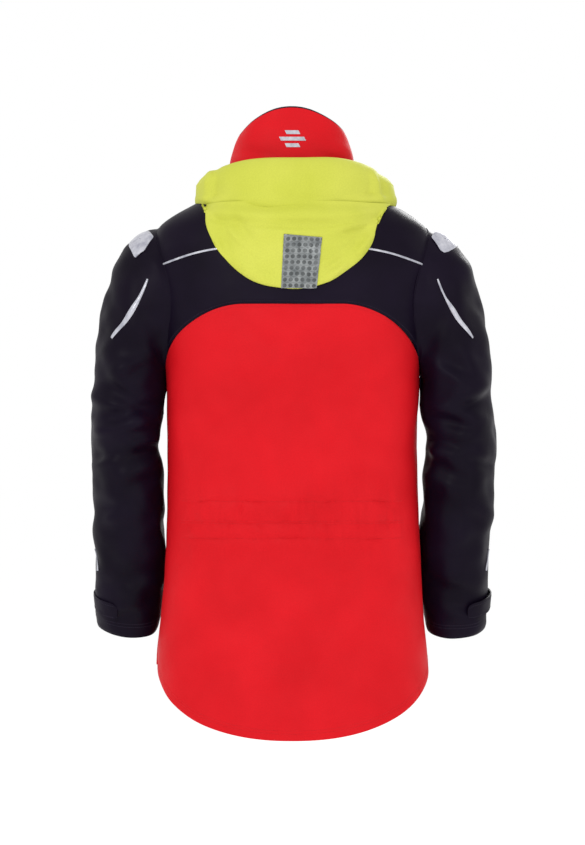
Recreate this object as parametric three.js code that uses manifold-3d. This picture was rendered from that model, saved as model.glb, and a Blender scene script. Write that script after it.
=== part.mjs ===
// Foul weather jacket for sailing, laid out as worn, in millimetres with +Z up.
// The front faces -Y, the back +Y, and the wearer's left arm is at +X.
// Heights are first counted up from the lowest point of the tail hem; the whole
// jacket is moved at the end so that the hanging loop sits at the origin.

import * as THREE from 'three';
import { mergeVertices } from 'three/addons/utils/BufferGeometryUtils.js';
import Module from 'manifold-3d';

const wasm = await Module();
wasm.setup();

// ---- Driving dimensions ---------------------------------------------------

// Body heights, each one counted from the one before it
const TAIL_DROP = 110;
const WAIST_ABOVE_HEM = 232;
const UNDERARM_ABOVE_WAIST = 235;
const ARMHOLE_DEPTH = 236;
const SHOULDER_DROP = 77;
const COLLAR_HEIGHT = 116;

// Half widths of the body
const HEM_HALF = 219;
const WAIST_HALF = 203;
const CHEST_HALF = 205;
const SHOULDER_HALF = 228;
const NECK_HALF = 101;

// Depth from the side seams to the back, and of the straight front edge
const HEM_BACK = 148;
const WAIST_BACK = 130;
const BLADE_BACK = 136;
const SHOULDER_BACK = 112;
const NECK_BACK = 84;
const HEM_FRONT = 150;
const FRONT_LEAN = THREE.MathUtils.degToRad(3.8);
const SECTION_SQUARENESS = 2.5;

// Layers of the body, from the outside in
const SHELL = 2.5;
const LAYER_GAP = 0.5;
const ELASTIC = 1.2;
const CASING = 1;
const LINING = 1.2;
const LINING_EASE = 1.6;
const SEAM_GAP = 0.6;
const ARMHOLE_GAP = 1.2;

// Yoke seam across the back, and across the front
const YOKE_ABOVE_UNDERARM = 14;
const YOKE_RISE = 99;
const YOKE_CORNER = 127;
const YOKE_ROUNDNESS = 1.8;
const FRONT_YOKE_ABOVE_UNDERARM = 55;

// Hem, waist channel
const HEM_ROUNDNESS = 2.2;
const HEM_FACING = 16;
const CHANNEL_FACETS = 10;
const UPPER_ELASTIC = 27;
const LOWER_ELASTIC = 18;
const CHANNEL_STITCH = 7;

// Sleeves
const BICEP_WIDTH = 115;
const ELBOW_WIDTH = 112;
const WRIST_WIDTH = 111;
const CUFF_WIDTH = 102;
const ARMHOLE_HALF = 75;
const BICEP_HALF = 77;
const ELBOW_HALF = 69;
const WRIST_HALF = 54;
const CUFF_HALF = 50;
const SHOULDER_TO_ELBOW = 341;
const FOREARM = 302;
const FOREARM_FORWARD = 62;
const SLEEVE_WALL = 2.5;
const INNER_CUFF_WALL = 2;
const INNER_CUFF_HALF = 33;
const INNER_CUFF_LENGTH = 70;
const INNER_CUFF_TOP = 1.3; // counted in sleeve rings up from the cuff
const TAB_WIDTH = 26;
const TAB_THICK = 2.4;

// Collar
const COLLAR_TOP_HALF = 77;
const COLLAR_TOP_BACK = 70;
const COLLAR_SIDE_DIP = 94;
const COLLAR_WALL = 2.5;
const FLEECE = 2;
const LOOP_SPAN = 64;
const LOOP_STANDOFF = 13;
const LOOP_END_GAP = 4;
const LOOP_WIDTH = 10;
const LOOP_THICK = 1.6;

// Hood, lying down on the back
const FOLD_BELOW_NECK = 43;
const ROLL_HEIGHT = 76;
const ROLL_THICK = 50;
const ROLL_REACH = 128;
const ROLL_BACK = 117;
const BAG_HALF = 140;
const BAG_DROP = 205;
const BAG_BACK = 88;
const BAG_CENTRE_Y = 60;
const HOOD_WALL = 3;
const HOOD_SWING = 130;
const HOOD_CLEARANCE = 2;
const PEAK_WIDTH = 120;
const PEAK_DEPTH = 45;
const PATCH_WIDTH = 59;
const PATCH_HEIGHT = 82;
const PATCH_BELOW_FOLD = 50;

// Front closure, drawn in the plane of the leaning front edge
const FRONT_SLOT = 7;
const TEETH_WIDTH = 3;
const TEETH_THICK = 2.4;
const TEETH_GAP = 1.2;
const TAPE_WIDTH = 16;
const TAPE_THICK = 0.8;
const SLIDER_WIDTH = 11;
const SLIDER_LENGTH = 15;
const SLIDER_PLATE = 1.4;
const PULLER_LENGTH = 30;
const PULLER_WIDTH = 8;
const PULLER_THICK = 1.6;
const FLAP_HALF = 38;
const FLAP_THICK = 3;
const FLAP_STANDOFF = 3.6;
const FLAP_BELOW_COLLAR_TOP = 62;
const FLAP_BASE = 8;
const GRIP_WIDTH = 20;
const GRIP_THICK = 1.2;

// Cargo pockets
const POCKET_WIDTH = 138;
const POCKET_HEIGHT = 172;
const POCKET_DEPTH = 24;
const POCKET_WALL = 2.5;
const POCKET_SIDE = 121;
const POCKET_ABOVE_HEM = 26;
const POCKET_FLAP_DROP = 58;
const POCKET_FLAP_THICK = 2.5;
const POCKET_FLAP_LAP = 5;

// Reflective trim
const PIPING_WIDTH = 3.4;
const FLASH_WIDTH = 5;
const TRIM_GAP = 0.4;
const TRIM_THICK = 1.2;
const BADGE_SIZE = 42;

// ---- Heights and fits worked out from them --------------------------------

const HEM_Z = TAIL_DROP;
const WAIST_Z = HEM_Z + WAIST_ABOVE_HEM;
const UNDERARM_Z = WAIST_Z + UNDERARM_ABOVE_WAIST;
const SHOULDER_Z = UNDERARM_Z + ARMHOLE_DEPTH;
const NECK_Z = SHOULDER_Z + SHOULDER_DROP;
const COLLAR_TOP_Z = NECK_Z + COLLAR_HEIGHT;
const ELBOW_Z = SHOULDER_Z - SHOULDER_TO_ELBOW;
const CUFF_Z = ELBOW_Z - FOREARM;
const HOOD_FOLD_Z = NECK_Z - FOLD_BELOW_NECK;

const ELASTIC_DEPTH = SHELL + LAYER_GAP;
const CASING_DEPTH = ELASTIC_DEPTH + ELASTIC + LAYER_GAP;
const LINING_DEPTH = CASING_DEPTH + CASING + LINING_EASE;
const FLEECE_DEPTH = COLLAR_WALL + LAYER_GAP;
const FAR = 400; // a reach that passes any side of the jacket
const OVERRUN = 10; // how far a shell runs on past the outline that trims it

// ---- Materials ------------------------------------------------------------

function finish(colour, roughness, metalness = 0) {
  return new THREE.MeshStandardMaterial({ color: colour, roughness, metalness });
}

const redShell = finish(0xe1202b, 0.7);
const navyShell = finish(0x1f1828, 0.75);
const yellowShell = finish(0xdfe25c, 0.65);
const fleece = finish(0x1b1b26, 0.95);
const meshLining = finish(0x50545c, 0.9);
const reflective = finish(0xb4b6bb, 0.35, 0.2);
const webbing = finish(0x16161a, 0.85);
const zipPlastic = finish(0x17181c, 0.5);
const neoprene = finish(0x121216, 0.9);

// ---- Small geometry helpers -----------------------------------------------

/** A smooth height profile through [position, value] stations. */
function smooth(stations) {
  const slope = (p, q) => (q[1] - p[1]) / (q[0] - p[0]);
  const last = stations.length - 2;
  return (at) => {
    let i = 0;
    while (i < last && at > stations[i + 1][0]) i += 1;
    const [start, end] = [stations[i], stations[i + 1]];
    const inside = slope(start, end);
    const before = i > 0 ? (slope(stations[i - 1], start) + inside) / 2 : inside;
    const after = i < last ? (inside + slope(end, stations[i + 2])) / 2 : inside;
    const span = end[0] - start[0];
    const t = THREE.MathUtils.clamp((at - start[0]) / span, 0, 1);
    const rest = 1 - t;
    return start[1] * (1 + 2 * t) * rest * rest + before * span * t * rest * rest
      + end[1] * t * t * (3 - 2 * t) - after * span * t * t * rest;
  };
}

/** A point moved out from a surface along its normal; surface(turn, v) gives a Vector3. */
function offsetPoint(surface, turn, v, out) {
  const step = 1e-3;
  const along = surface(turn + step, v).sub(surface(turn - step, v));
  const up = surface(turn, v + step).sub(surface(turn, v - step));
  const normal = along.cross(up).normalize();
  return surface(turn, v).addScaledVector(normal, out);
}

/** Closed rings of a surface at the given heights, moved out by a distance. */
function ringsOf(surface, heights, out, count) {
  return heights.map((v) => Array.from({ length: count },
    (_, i) => offsetPoint(surface, (2 * Math.PI * i) / count, v, out)));
}

/** Evenly spaced values from a start to an end, both included. */
function steps(from, to, count) {
  return Array.from({ length: count + 1 }, (_, i) => from + ((to - from) * i) / count);
}

function meshFrom(points, triangles) {
  const geometry = new THREE.BufferGeometry();
  const places = points.flatMap((p) => p.toArray());
  geometry.setAttribute('position', new THREE.Float32BufferAttribute(places, 3));
  geometry.setIndex(triangles);
  return geometry;
}

/** Triangles between two loops of the same count that start at the given indices. */
function band(low, high, count) {
  const triangles = [];
  for (let i = 0; i < count; i += 1) {
    const j = (i + 1) % count;
    triangles.push(low + i, low + j, high + j, low + i, high + j, high + i);
  }
  return triangles;
}

/** A filled body through rings that run anticlockwise seen from the last one. */
function loft(rings) {
  const count = rings[0].length;
  const points = rings.flat();
  const triangles = rings.slice(1).flatMap((_, k) => band(k * count, (k + 1) * count, count));
  for (const [ring, flip] of [[0, true], [rings.length - 1, false]]) {
    const centre = rings[ring].reduce((sum, p) => sum.add(p), new THREE.Vector3()).divideScalar(count);
    points.push(centre);
    for (let i = 0; i < count; i += 1) {
      const [a, b] = [ring * count + i, ring * count + ((i + 1) % count)];
      triangles.push(points.length - 1, flip ? b : a, flip ? a : b);
    }
  }
  return meshFrom(points, triangles);
}

/** An open tube with a wall between outer and inner rings. */
function tube(outer, inner) {
  const count = outer[0].length;
  const levels = outer.length;
  const rings = [...outer, ...inner.slice().reverse()];
  const triangles = rings.flatMap((_, k) => band(k * count, ((k + 1) % (2 * levels)) * count, count));
  return meshFrom(rings.flat(), triangles);
}

/** A sheet of a surface between two turns and two heights, from one offset to a larger one. */
function sheet(surface, turns, heights, inside, outside) {
  const rows = heights.map((v) => [
    ...turns.map((turn) => offsetPoint(surface, turn, v, outside)),
    ...turns.slice().reverse().map((turn) => offsetPoint(surface, turn, v, inside)),
  ]);
  const count = rows[0].length;
  const half = turns.length;
  const triangles = rows.slice(1).flatMap((_, k) => band(k * count, (k + 1) * count, count));
  for (const [row, flip] of [[0, true], [rows.length - 1, false]]) {
    for (let i = 0; i < half - 1; i += 1) {
      const [a, b] = [row * count + i, row * count + i + 1];
      const [c, d] = [row * count + count - 1 - i, row * count + count - 2 - i];
      triangles.push(...(flip ? [a, c, d, a, d, b] : [a, d, c, a, b, d]));
    }
  }
  return meshFrom(rows.flat(), triangles);
}

/** A block between two corners, in the axes of a frame. */
function block(low, high, frame = new THREE.Matrix4()) {
  const size = high.map((value, i) => value - low[i]);
  const geometry = new THREE.BoxGeometry(...size);
  geometry.translate(...low.map((value, i) => value + size[i] / 2));
  return geometry.applyMatrix4(frame);
}

/** An outline drawn in X and Z, pushed through the jacket from one Y to another. */
function through(shape, fromY, toY, curveSegments = 24) {
  const geometry = new THREE.ExtrudeGeometry(shape, { depth: toY - fromY, bevelEnabled: false, curveSegments });
  geometry.rotateX(Math.PI / 2);
  return geometry.translate(0, toY, 0);
}

function outline(points) {
  return new THREE.Shape(points.map(([x, z]) => new THREE.Vector2(x, z)));
}

/** A stripe of even width along a curve drawn in X and Z. */
function stripe(curve, width, count = 10) {
  const sides = [-1, 1].map((side) => steps(0, 1, count).map((u) => {
    const along = curve.getTangentAt(u);
    const at = curve.getPointAt(u);
    return [at.x - along.y * side * width / 2, at.y + along.x * side * width / 2];
  }));
  return outline([...sides[0], ...sides[1].reverse()]);
}

// ---- Booleans -------------------------------------------------------------

function solid(geometry) {
  const bare = geometry.clone();
  bare.deleteAttribute('normal');
  bare.deleteAttribute('uv');
  const merged = mergeVertices(bare, 1e-4);
  return new wasm.Manifold(new wasm.Mesh({
    numProp: 3,
    vertProperties: merged.attributes.position.array,
    triVerts: new Uint32Array(merged.index.array),
  }));
}

function geometryOf(manifold) {
  const { vertProperties, triVerts } = manifold.getMesh();
  const geometry = new THREE.BufferGeometry();
  geometry.setAttribute('position', new THREE.BufferAttribute(new Float32Array(vertProperties), 3));
  geometry.setIndex(new THREE.BufferAttribute(new Uint32Array(triVerts), 1));
  return geometry;
}

const common = (a, b) => a.intersect(b);
const cut = (a, ...others) => others.reduce((left, other) => left.subtract(other), a);

// ---- Surfaces of the jacket -----------------------------------------------

const torsoHalf = smooth([
  [0, HEM_HALF],
  [HEM_Z, HEM_HALF],
  [WAIST_Z - WAIST_ABOVE_HEM / 2, (HEM_HALF + 2 * WAIST_HALF) / 3],
  [WAIST_Z, WAIST_HALF],
  [UNDERARM_Z - UNDERARM_ABOVE_WAIST / 2, (WAIST_HALF + CHEST_HALF) / 2 - 3],
  [UNDERARM_Z, CHEST_HALF],
  [SHOULDER_Z - ARMHOLE_DEPTH / 2, (CHEST_HALF + SHOULDER_HALF) / 2],
  [SHOULDER_Z - ARMHOLE_DEPTH / 9, SHOULDER_HALF - 2],
  [SHOULDER_Z + SHOULDER_DROP / 16, SHOULDER_HALF - 13],
  [SHOULDER_Z + SHOULDER_DROP * 0.32, THREE.MathUtils.lerp(SHOULDER_HALF, NECK_HALF, 0.3)],
  [SHOULDER_Z + SHOULDER_DROP * 0.57, THREE.MathUtils.lerp(SHOULDER_HALF, NECK_HALF, 0.57)],
  [SHOULDER_Z + SHOULDER_DROP * 0.8, THREE.MathUtils.lerp(SHOULDER_HALF, NECK_HALF, 0.84)],
  [NECK_Z + OVERRUN, NECK_HALF - OVERRUN / 2],
]);

const torsoBack = smooth([
  [0, HEM_BACK],
  [WAIST_Z, WAIST_BACK],
  [UNDERARM_Z + ARMHOLE_DEPTH / 3, BLADE_BACK],
  [SHOULDER_Z, SHOULDER_BACK],
  [NECK_Z, NECK_BACK],
]);

/** The front edge is one straight line that leans in as it rises. */
function frontDepth(z) {
  return HEM_FRONT - z * Math.tan(FRONT_LEAN);
}

/** A rounded section: turn 0 at the wearer's left side, a quarter turn at the back. */
function section(turn, z, half, back) {
  const power = 2 / SECTION_SQUARENESS;
  const [c, s] = [Math.cos(turn), Math.sin(turn)];
  const depth = s > 0 ? back : frontDepth(z);
  return new THREE.Vector3(
    Math.sign(c) * Math.abs(c) ** power * half,
    Math.sign(s) * Math.abs(s) ** power * depth,
    z,
  );
}

const torso = (turn, z) => section(turn, z, torsoHalf(z), torsoBack(z));

function collar(turn, z) {
  const rise = (z - NECK_Z) / COLLAR_HEIGHT;
  const ease = Math.sign(rise) * Math.abs(rise) ** 1.6;
  const half = THREE.MathUtils.lerp(NECK_HALF, COLLAR_TOP_HALF, ease);
  return section(turn, z, half, THREE.MathUtils.lerp(NECK_BACK, COLLAR_TOP_BACK, rise));
}

const BODY_HEIGHTS = [
  -OVERRUN, HEM_Z,
  ...steps(HEM_Z, WAIST_Z, 2).slice(1),
  ...steps(WAIST_Z, UNDERARM_Z, 2).slice(1),
  ...steps(UNDERARM_Z, SHOULDER_Z - ARMHOLE_DEPTH / 9, 3).slice(1),
  ...steps(SHOULDER_Z, NECK_Z + OVERRUN / 2, 5),
];
const BODY_SEGMENTS = 32;
const COLLAR_SEGMENTS = 28;

/** Turns at the corners of the faceted body or sleeve, so that layers nest in each other. */
function facets(from, to, count) {
  return steps(from, to, to - from).map((i) => (2 * Math.PI * i) / count);
}

function torsoSolid(out) {
  return solid(loft(ringsOf(torso, BODY_HEIGHTS, out, BODY_SEGMENTS)));
}

function torsoShell(outside, thickness) {
  return solid(tube(
    ringsOf(torso, BODY_HEIGHTS, outside, BODY_SEGMENTS),
    ringsOf(torso, BODY_HEIGHTS, outside - thickness, BODY_SEGMENTS),
  ));
}

// The left sleeve is a tube between an inner and an outer edge, from the cuff up.
// At the top its rings fan round the underarm until they stand upright in the armhole,
// and the last one carries on inside the body so that the body can trim it.
const SLEEVE_RINGS = [
  { inner: [HEM_HALF - 4, CUFF_Z - 2], width: CUFF_WIDTH, half: CUFF_HALF,
    forward: FOREARM_FORWARD, tilt: 0.4 },
  { inner: [HEM_HALF - 9, CUFF_Z + 45], width: WRIST_WIDTH, half: WRIST_HALF,
    forward: FOREARM_FORWARD * 0.86, tilt: 0.3 },
  { inner: [THREE.MathUtils.lerp(CHEST_HALF, HEM_HALF, 0.5) - 5, ELBOW_Z - FOREARM * 0.55],
    width: ELBOW_WIDTH + 2, half: (WRIST_HALF + ELBOW_HALF) / 2, forward: FOREARM_FORWARD * 0.5, tilt: 0.16 },
  { inner: [THREE.MathUtils.lerp(CHEST_HALF, HEM_HALF, 0.25) + 1.5, ELBOW_Z - FOREARM * 0.25],
    width: ELBOW_WIDTH + 3, half: ELBOW_HALF - 3, forward: FOREARM_FORWARD * 0.2, tilt: 0.05 },
  { inner: [CHEST_HALF + 9, ELBOW_Z], width: ELBOW_WIDTH, half: ELBOW_HALF, forward: 5, tilt: 0 },
  { inner: [CHEST_HALF + 3, (ELBOW_Z + UNDERARM_Z) / 2], width: (ELBOW_WIDTH + BICEP_WIDTH) / 2 + 4,
    half: (ELBOW_HALF + BICEP_HALF) / 2, forward: 2, tilt: 0 },
  { inner: [CHEST_HALF + 1, UNDERARM_Z - 4], width: BICEP_WIDTH, half: BICEP_HALF, forward: 0, tilt: 0 },
];
const CAP_RINGS = [
  { lift: 0.22, reach: 0.96, half: 0.98 },
  { lift: 0.52, reach: 0.85, half: 0.97 },
  { lift: 0.82, reach: 0.63, half: 0.98 },
  { lift: 1, reach: 0.22, half: 1 },
  { lift: 1, reach: -0.22, half: 1 },
];
const ELBOW_RING = 4;
const TOP_RING = SLEEVE_RINGS.length + CAP_RINGS.length - 1;

/** Edges of the sleeve as smooth curves, with one station for each ring. */
function sleeveEdges() {
  const inner = SLEEVE_RINGS.map((ring) => ring.inner);
  const outer = SLEEVE_RINGS.map((ring) => [ring.inner[0] + ring.width, ring.inner[1] + 5]);
  CAP_RINGS.forEach((ring, i) => {
    const stub = Math.min(ring.reach, 0);
    inner.push([CHEST_HALF + stub * BICEP_WIDTH * 2, UNDERARM_Z + 2 * (i + 1)]);
    outer.push([CHEST_HALF + 2 + BICEP_WIDTH * ring.reach, UNDERARM_Z + ARMHOLE_DEPTH * ring.lift]);
  });
  const curve = (points) => new THREE.CatmullRomCurve3(
    points.map(([x, z]) => new THREE.Vector3(x, 0, z)), false, 'centripetal');
  return [curve(inner), curve(outer)];
}

const [SLEEVE_INNER, SLEEVE_OUTER] = sleeveEdges();
const byRing = (values) => smooth(values.map((value, i) => [i, value]));
const sleeveHalf = byRing([...SLEEVE_RINGS.map((r) => r.half), ...CAP_RINGS.map((r) => r.half * ARMHOLE_HALF)]);
const sleeveForward = byRing([...SLEEVE_RINGS.map((r) => r.forward), ...CAP_RINGS.map(() => 0)]);
const sleeveTilt = byRing([...SLEEVE_RINGS.map((r) => r.tilt), ...CAP_RINGS.map(() => 0)]);

/** Surface of the left sleeve: turn 0 on its outer edge, station counted up from the cuff. */
function sleeve(turn, station) {
  const u = THREE.MathUtils.clamp(station / TOP_RING, 0, 1);
  const [low, high] = [SLEEVE_INNER.getPoint(u), SLEEVE_OUTER.getPoint(u)];
  const centre = low.clone().add(high).divideScalar(2);
  const point = high.sub(low).multiplyScalar(Math.cos(turn) / 2).add(centre);
  const back = Math.sin(turn) * sleeveHalf(station);
  point.y = back - sleeveForward(station);
  point.z -= sleeveTilt(station) * back;
  return point;
}

const SLEEVE_SEGMENTS = 20;
const ELBOW_SPLIT = SEAM_GAP / 2 / (FOREARM / ELBOW_RING);
const UPPER_STATIONS = [ELBOW_RING + ELBOW_SPLIT, 5, 6, 6.7, 7.4, 8.2, 9, 10, TOP_RING - 1e-2];
const FOREARM_STATIONS = [1e-2, 0.5, 1, INNER_CUFF_TOP, 2, 3, ELBOW_RING - ELBOW_SPLIT];

function sleeveShell(stations, outside, thickness) {
  return solid(tube(
    ringsOf(sleeve, stations, outside, SLEEVE_SEGMENTS),
    ringsOf(sleeve, stations, outside - thickness, SLEEVE_SEGMENTS),
  ));
}

/** The room inside the upper sleeve, which opens the body at the armhole. */
function armRoom() {
  return solid(loft(ringsOf(sleeve, UPPER_STATIONS, -SLEEVE_WALL, SLEEVE_SEGMENTS)));
}

/** The lower half of the hood bag, as a rounded body with an outline moved in by a wall. */
function hoodBody(inset, top) {
  const ball = new THREE.SphereGeometry(1, 24, 16);
  ball.scale(BAG_HALF - inset, BAG_BACK - inset, BAG_DROP - inset);
  ball.translate(0, BAG_CENTRE_Y, HOOD_FOLD_Z);
  return common(solid(ball), solid(block([-FAR, 0, 0], [FAR, FAR, top])));
}

// ---- Assembly helpers -----------------------------------------------------

const jacket = new THREE.Group();

function add(name, shape, material) {
  const mesh = new THREE.Mesh(shape instanceof THREE.BufferGeometry ? shape : geometryOf(shape), material);
  mesh.name = name;
  jacket.add(mesh);
}

function mirrored(geometry) {
  const other = geometry.clone().scale(-1, 1, 1);
  const last = other.attributes.position.count - 1;
  const index = other.index ? Array.from(other.index.array) : steps(0, last, last);
  for (let i = 0; i < index.length; i += 3) [index[i], index[i + 1]] = [index[i + 1], index[i]];
  other.setIndex(index);
  return other;
}

/** Adds a piece of the wearer's left side and its mirror image on the right. */
function addPair(name, shape, material) {
  const geometry = shape instanceof THREE.BufferGeometry ? shape : geometryOf(shape);
  add(`${name}_left`, geometry, material);
  add(`${name}_right`, mirrored(geometry), material);
}

// ---- Body panels ----------------------------------------------------------

/** Height of the curved tail hem at a distance from the centre, moved up by a margin. */
function tailHem(x, margin) {
  const across = Math.min(Math.abs(x) / HEM_HALF, 1);
  return margin + TAIL_DROP * (1 - (1 - across ** HEM_ROUNDNESS) ** 0.5);
}

function tailHemLine(margin) {
  const xs = steps(-1, 1, 28).map((t) => Math.sin((t * Math.PI) / 2) * HEM_HALF);
  return [[-FAR, TAIL_DROP + margin], ...xs.map((x) => [x, tailHem(x, margin)]), [FAR, TAIL_DROP + margin]];
}

/** The back yoke seam, level in the middle and rounded down to the underarms. */
function yokeLine(margin) {
  const side = CHEST_HALF + 2;
  const round = steps(0, 1, 9).map((t) => {
    const across = Math.sin((t * Math.PI) / 2);
    return [side - YOKE_CORNER * (1 - across), YOKE_RISE * (1 - across ** YOKE_ROUNDNESS) ** (1 / YOKE_ROUNDNESS)];
  });
  const right = [...round, [FAR, 0]];
  const left = right.map(([x, z]) => [-x, z]).reverse();
  return [...left, ...right].map(([x, z]) => [x, UNDERARM_Z + YOKE_ABOVE_UNDERARM + z + margin]);
}

function bodyPanels() {
  const open = armRoom();
  const shell = cut(torsoShell(0, SHELL), open, solid(mirrored(geometryOf(open))));
  const [back, ahead] = [[SEAM_GAP / 2, FAR], [-FAR, -SEAM_GAP / 2]];

  const panel = outline([...tailHemLine(0), ...yokeLine(-SEAM_GAP / 2).reverse()]);
  add('back_panel', common(shell, solid(through(panel, ...back))), redShell);
  const yoke = outline([...yokeLine(SEAM_GAP / 2), [FAR, NECK_Z], [-FAR, NECK_Z]]);
  add('back_yoke', common(shell, solid(through(yoke, ...back))), navyShell);

  const seam = UNDERARM_Z + FRONT_YOKE_ABOVE_UNDERARM;
  const front = (low, high) => solid(block([FRONT_SLOT, ahead[0], low], [FAR, ahead[1], high]));
  addPair('front_panel', common(shell, front(HEM_Z, seam - SEAM_GAP / 2)), redShell);
  addPair('front_yoke', common(shell, front(seam + SEAM_GAP / 2, NECK_Z)), navyShell);

  const inside = cut(torsoShell(-LINING_DEPTH, LINING), open, solid(mirrored(geometryOf(open))));
  const placket = solid(block([-TAPE_WIDTH - 10, -FAR, -FAR], [TAPE_WIDTH + 10, 0, 3 * FAR]));
  const lining = outline([...tailHemLine(HEM_FACING + 4), [FAR, NECK_Z - 4], [-FAR, NECK_Z - 4]]);
  const frontHem = solid(block([-FAR, -FAR, -FAR], [FAR, 0, HEM_Z + HEM_FACING + 4]));
  add('body_lining', cut(common(inside, solid(through(lining, -FAR, FAR))), placket, frontHem), meshLining);
}

function hemAndWaist() {
  const half = BODY_SEGMENTS / 2;
  const heights = [-OVERRUN, HEM_Z, HEM_Z + HEM_FACING + 4];
  const low = solid(sheet(torso, facets(0, half, BODY_SEGMENTS), heights,
    -ELASTIC_DEPTH - ELASTIC, -ELASTIC_DEPTH));
  const facing = outline([...tailHemLine(1), ...tailHemLine(HEM_FACING).reverse()]);
  add('hem_facing_back', common(low, solid(through(facing, 1, FAR))), redShell);
  const ahead = solid(sheet(torso, facets(2 - half / 2, 0, BODY_SEGMENTS), BODY_HEIGHTS.slice(1, 3),
    -ELASTIC_DEPTH - ELASTIC, -ELASTIC_DEPTH));
  const turned = solid(block([-FAR, -FAR, HEM_Z + 1], [FAR, FAR, HEM_Z + HEM_FACING]));
  addPair('hem_facing_front', common(ahead, turned), redShell);

  const side = (half - CHANNEL_FACETS) / 2;
  const behind = facets(side, half - side, BODY_SEGMENTS);
  const strap = (from, height) => sheet(torso, behind, [from, from + height],
    -ELASTIC_DEPTH - ELASTIC, -ELASTIC_DEPTH);
  add('waist_elastic_upper', strap(WAIST_Z + CHANNEL_STITCH / 2, UPPER_ELASTIC), webbing);
  add('waist_elastic_lower', strap(WAIST_Z - CHANNEL_STITCH / 2 - LOWER_ELASTIC, LOWER_ELASTIC), webbing);
  const reach = [WAIST_Z - LOWER_ELASTIC - CHANNEL_STITCH, WAIST_Z, WAIST_Z + UPPER_ELASTIC + CHANNEL_STITCH];
  add('waist_casing', sheet(torso, behind, reach, -CASING_DEPTH - CASING, -CASING_DEPTH), meshLining);
}

// ---- Collar and hanging loop ----------------------------------------------

/** The collar's edge stands highest at the centre back and front and dips at the sides. */
function collarTrim(low, drop) {
  const half = NECK_HALF + 4;
  const edge = steps(0, Math.PI, 20).map((turn) => [
    Math.cos(turn) * half, COLLAR_TOP_Z - drop - COLLAR_SIDE_DIP * (1 - Math.sin(turn))]);
  const side = COLLAR_TOP_Z - drop - COLLAR_SIDE_DIP;
  return solid(through(outline([[FAR, low], [FAR, side], ...edge, [-FAR, side], [-FAR, low]]), -FAR, FAR));
}

const COLLAR_HEIGHTS = steps(NECK_Z - 2, COLLAR_TOP_Z + OVERRUN, 4);

function collarShell(outside, thickness) {
  return solid(tube(
    ringsOf(collar, COLLAR_HEIGHTS, outside, COLLAR_SEGMENTS),
    ringsOf(collar, COLLAR_HEIGHTS, outside - thickness, COLLAR_SEGMENTS),
  ));
}

function collarPieces() {
  const slot = (half) => solid(block([-half, -FAR, 0], [half, 0, 3 * FAR]));
  const outer = common(collarShell(0, COLLAR_WALL), collarTrim(NECK_Z + SEAM_GAP, 0));
  add('collar_shell', cut(outer, slot(FRONT_SLOT)), redShell);
  const soft = common(collarShell(-FLEECE_DEPTH, FLEECE), collarTrim(NECK_Z + SEAM_GAP, 1));
  add('collar_lining', cut(soft, slot(TAPE_WIDTH + 8)), fleece);
}

/** Inner face of the collar fleece at the centre back. */
function fleeceBack(z) {
  return THREE.MathUtils.lerp(NECK_BACK, COLLAR_TOP_BACK, (z - NECK_Z) / COLLAR_HEIGHT) - FLEECE_DEPTH - FLEECE;
}

const LOOP_LOW = NECK_Z + 8;
const LOOP_MOUNT = new THREE.Vector3(0, fleeceBack(LOOP_LOW) - LOOP_STANDOFF, LOOP_LOW + LOOP_WIDTH / 2);

/** The filled shape of the collar, moved out by a distance. */
function collarSolid(out) {
  return solid(loft(ringsOf(collar, COLLAR_HEIGHTS, out, COLLAR_SEGMENTS)));
}

/** A strap that bridges the centre back of the neck, with room for a peg behind it. */
function hangLoop() {
  const end = fleeceBack(LOOP_LOW) - LOOP_END_GAP;
  const middle = LOOP_MOUNT.y;
  const arc = (shift) => new THREE.QuadraticBezierCurve(
    new THREE.Vector2(-LOOP_SPAN / 2, end - shift),
    new THREE.Vector2(0, 2 * middle - end - shift),
    new THREE.Vector2(LOOP_SPAN / 2, end - shift),
  ).getPoints(14);
  const band2d = new THREE.Shape([...arc(LOOP_THICK), ...arc(0).reverse()]);
  const geometry = new THREE.ExtrudeGeometry(band2d, { depth: LOOP_WIDTH, bevelEnabled: false });
  add('hang_loop', geometry.translate(0, 0, LOOP_LOW), webbing);
}

// ---- Hood -----------------------------------------------------------------

/** A soft roll that lies round the back and sides of the collar. */
function hoodRoll() {
  const rings = steps(-0.3, Math.PI + 0.3, 16).map((turn) => {
    const taper = Math.min(1, 0.45 + Math.max(0, Math.sin(turn) + 0.3) * 1.6);
    const centre = new THREE.Vector3(
      Math.cos(turn) * ROLL_REACH, Math.sin(turn) * ROLL_BACK, HOOD_FOLD_Z + ROLL_HEIGHT / 2 - 2 * (1 - taper));
    const out = new THREE.Vector3(Math.cos(turn), Math.sin(turn), 0);
    return facets(0, 11, 12).map((around) => {
      return centre.clone()
        .addScaledVector(out, Math.cos(around) * (ROLL_THICK / 2) * taper)
        .add(new THREE.Vector3(0, 0, -Math.sin(around) * (ROLL_HEIGHT / 2) * taper));
    });
  });
  add('hood_roll', cut(solid(loft(rings)), torsoSolid(1.5), collarSolid(1)), yellowShell);
}

/** The back as the hood bag meets it at each stage of swinging up about its fold. */
function swungBack(top) {
  const fold = [0, BAG_CENTRE_Y + BAG_BACK, top];
  const body = torsoSolid(HOOD_CLEARANCE).translate(fold.map((value) => -value));
  return steps(0, HOOD_SWING, 8).map((angle) => body.rotate([-angle, 0, 0]).translate(fold));
}

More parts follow.
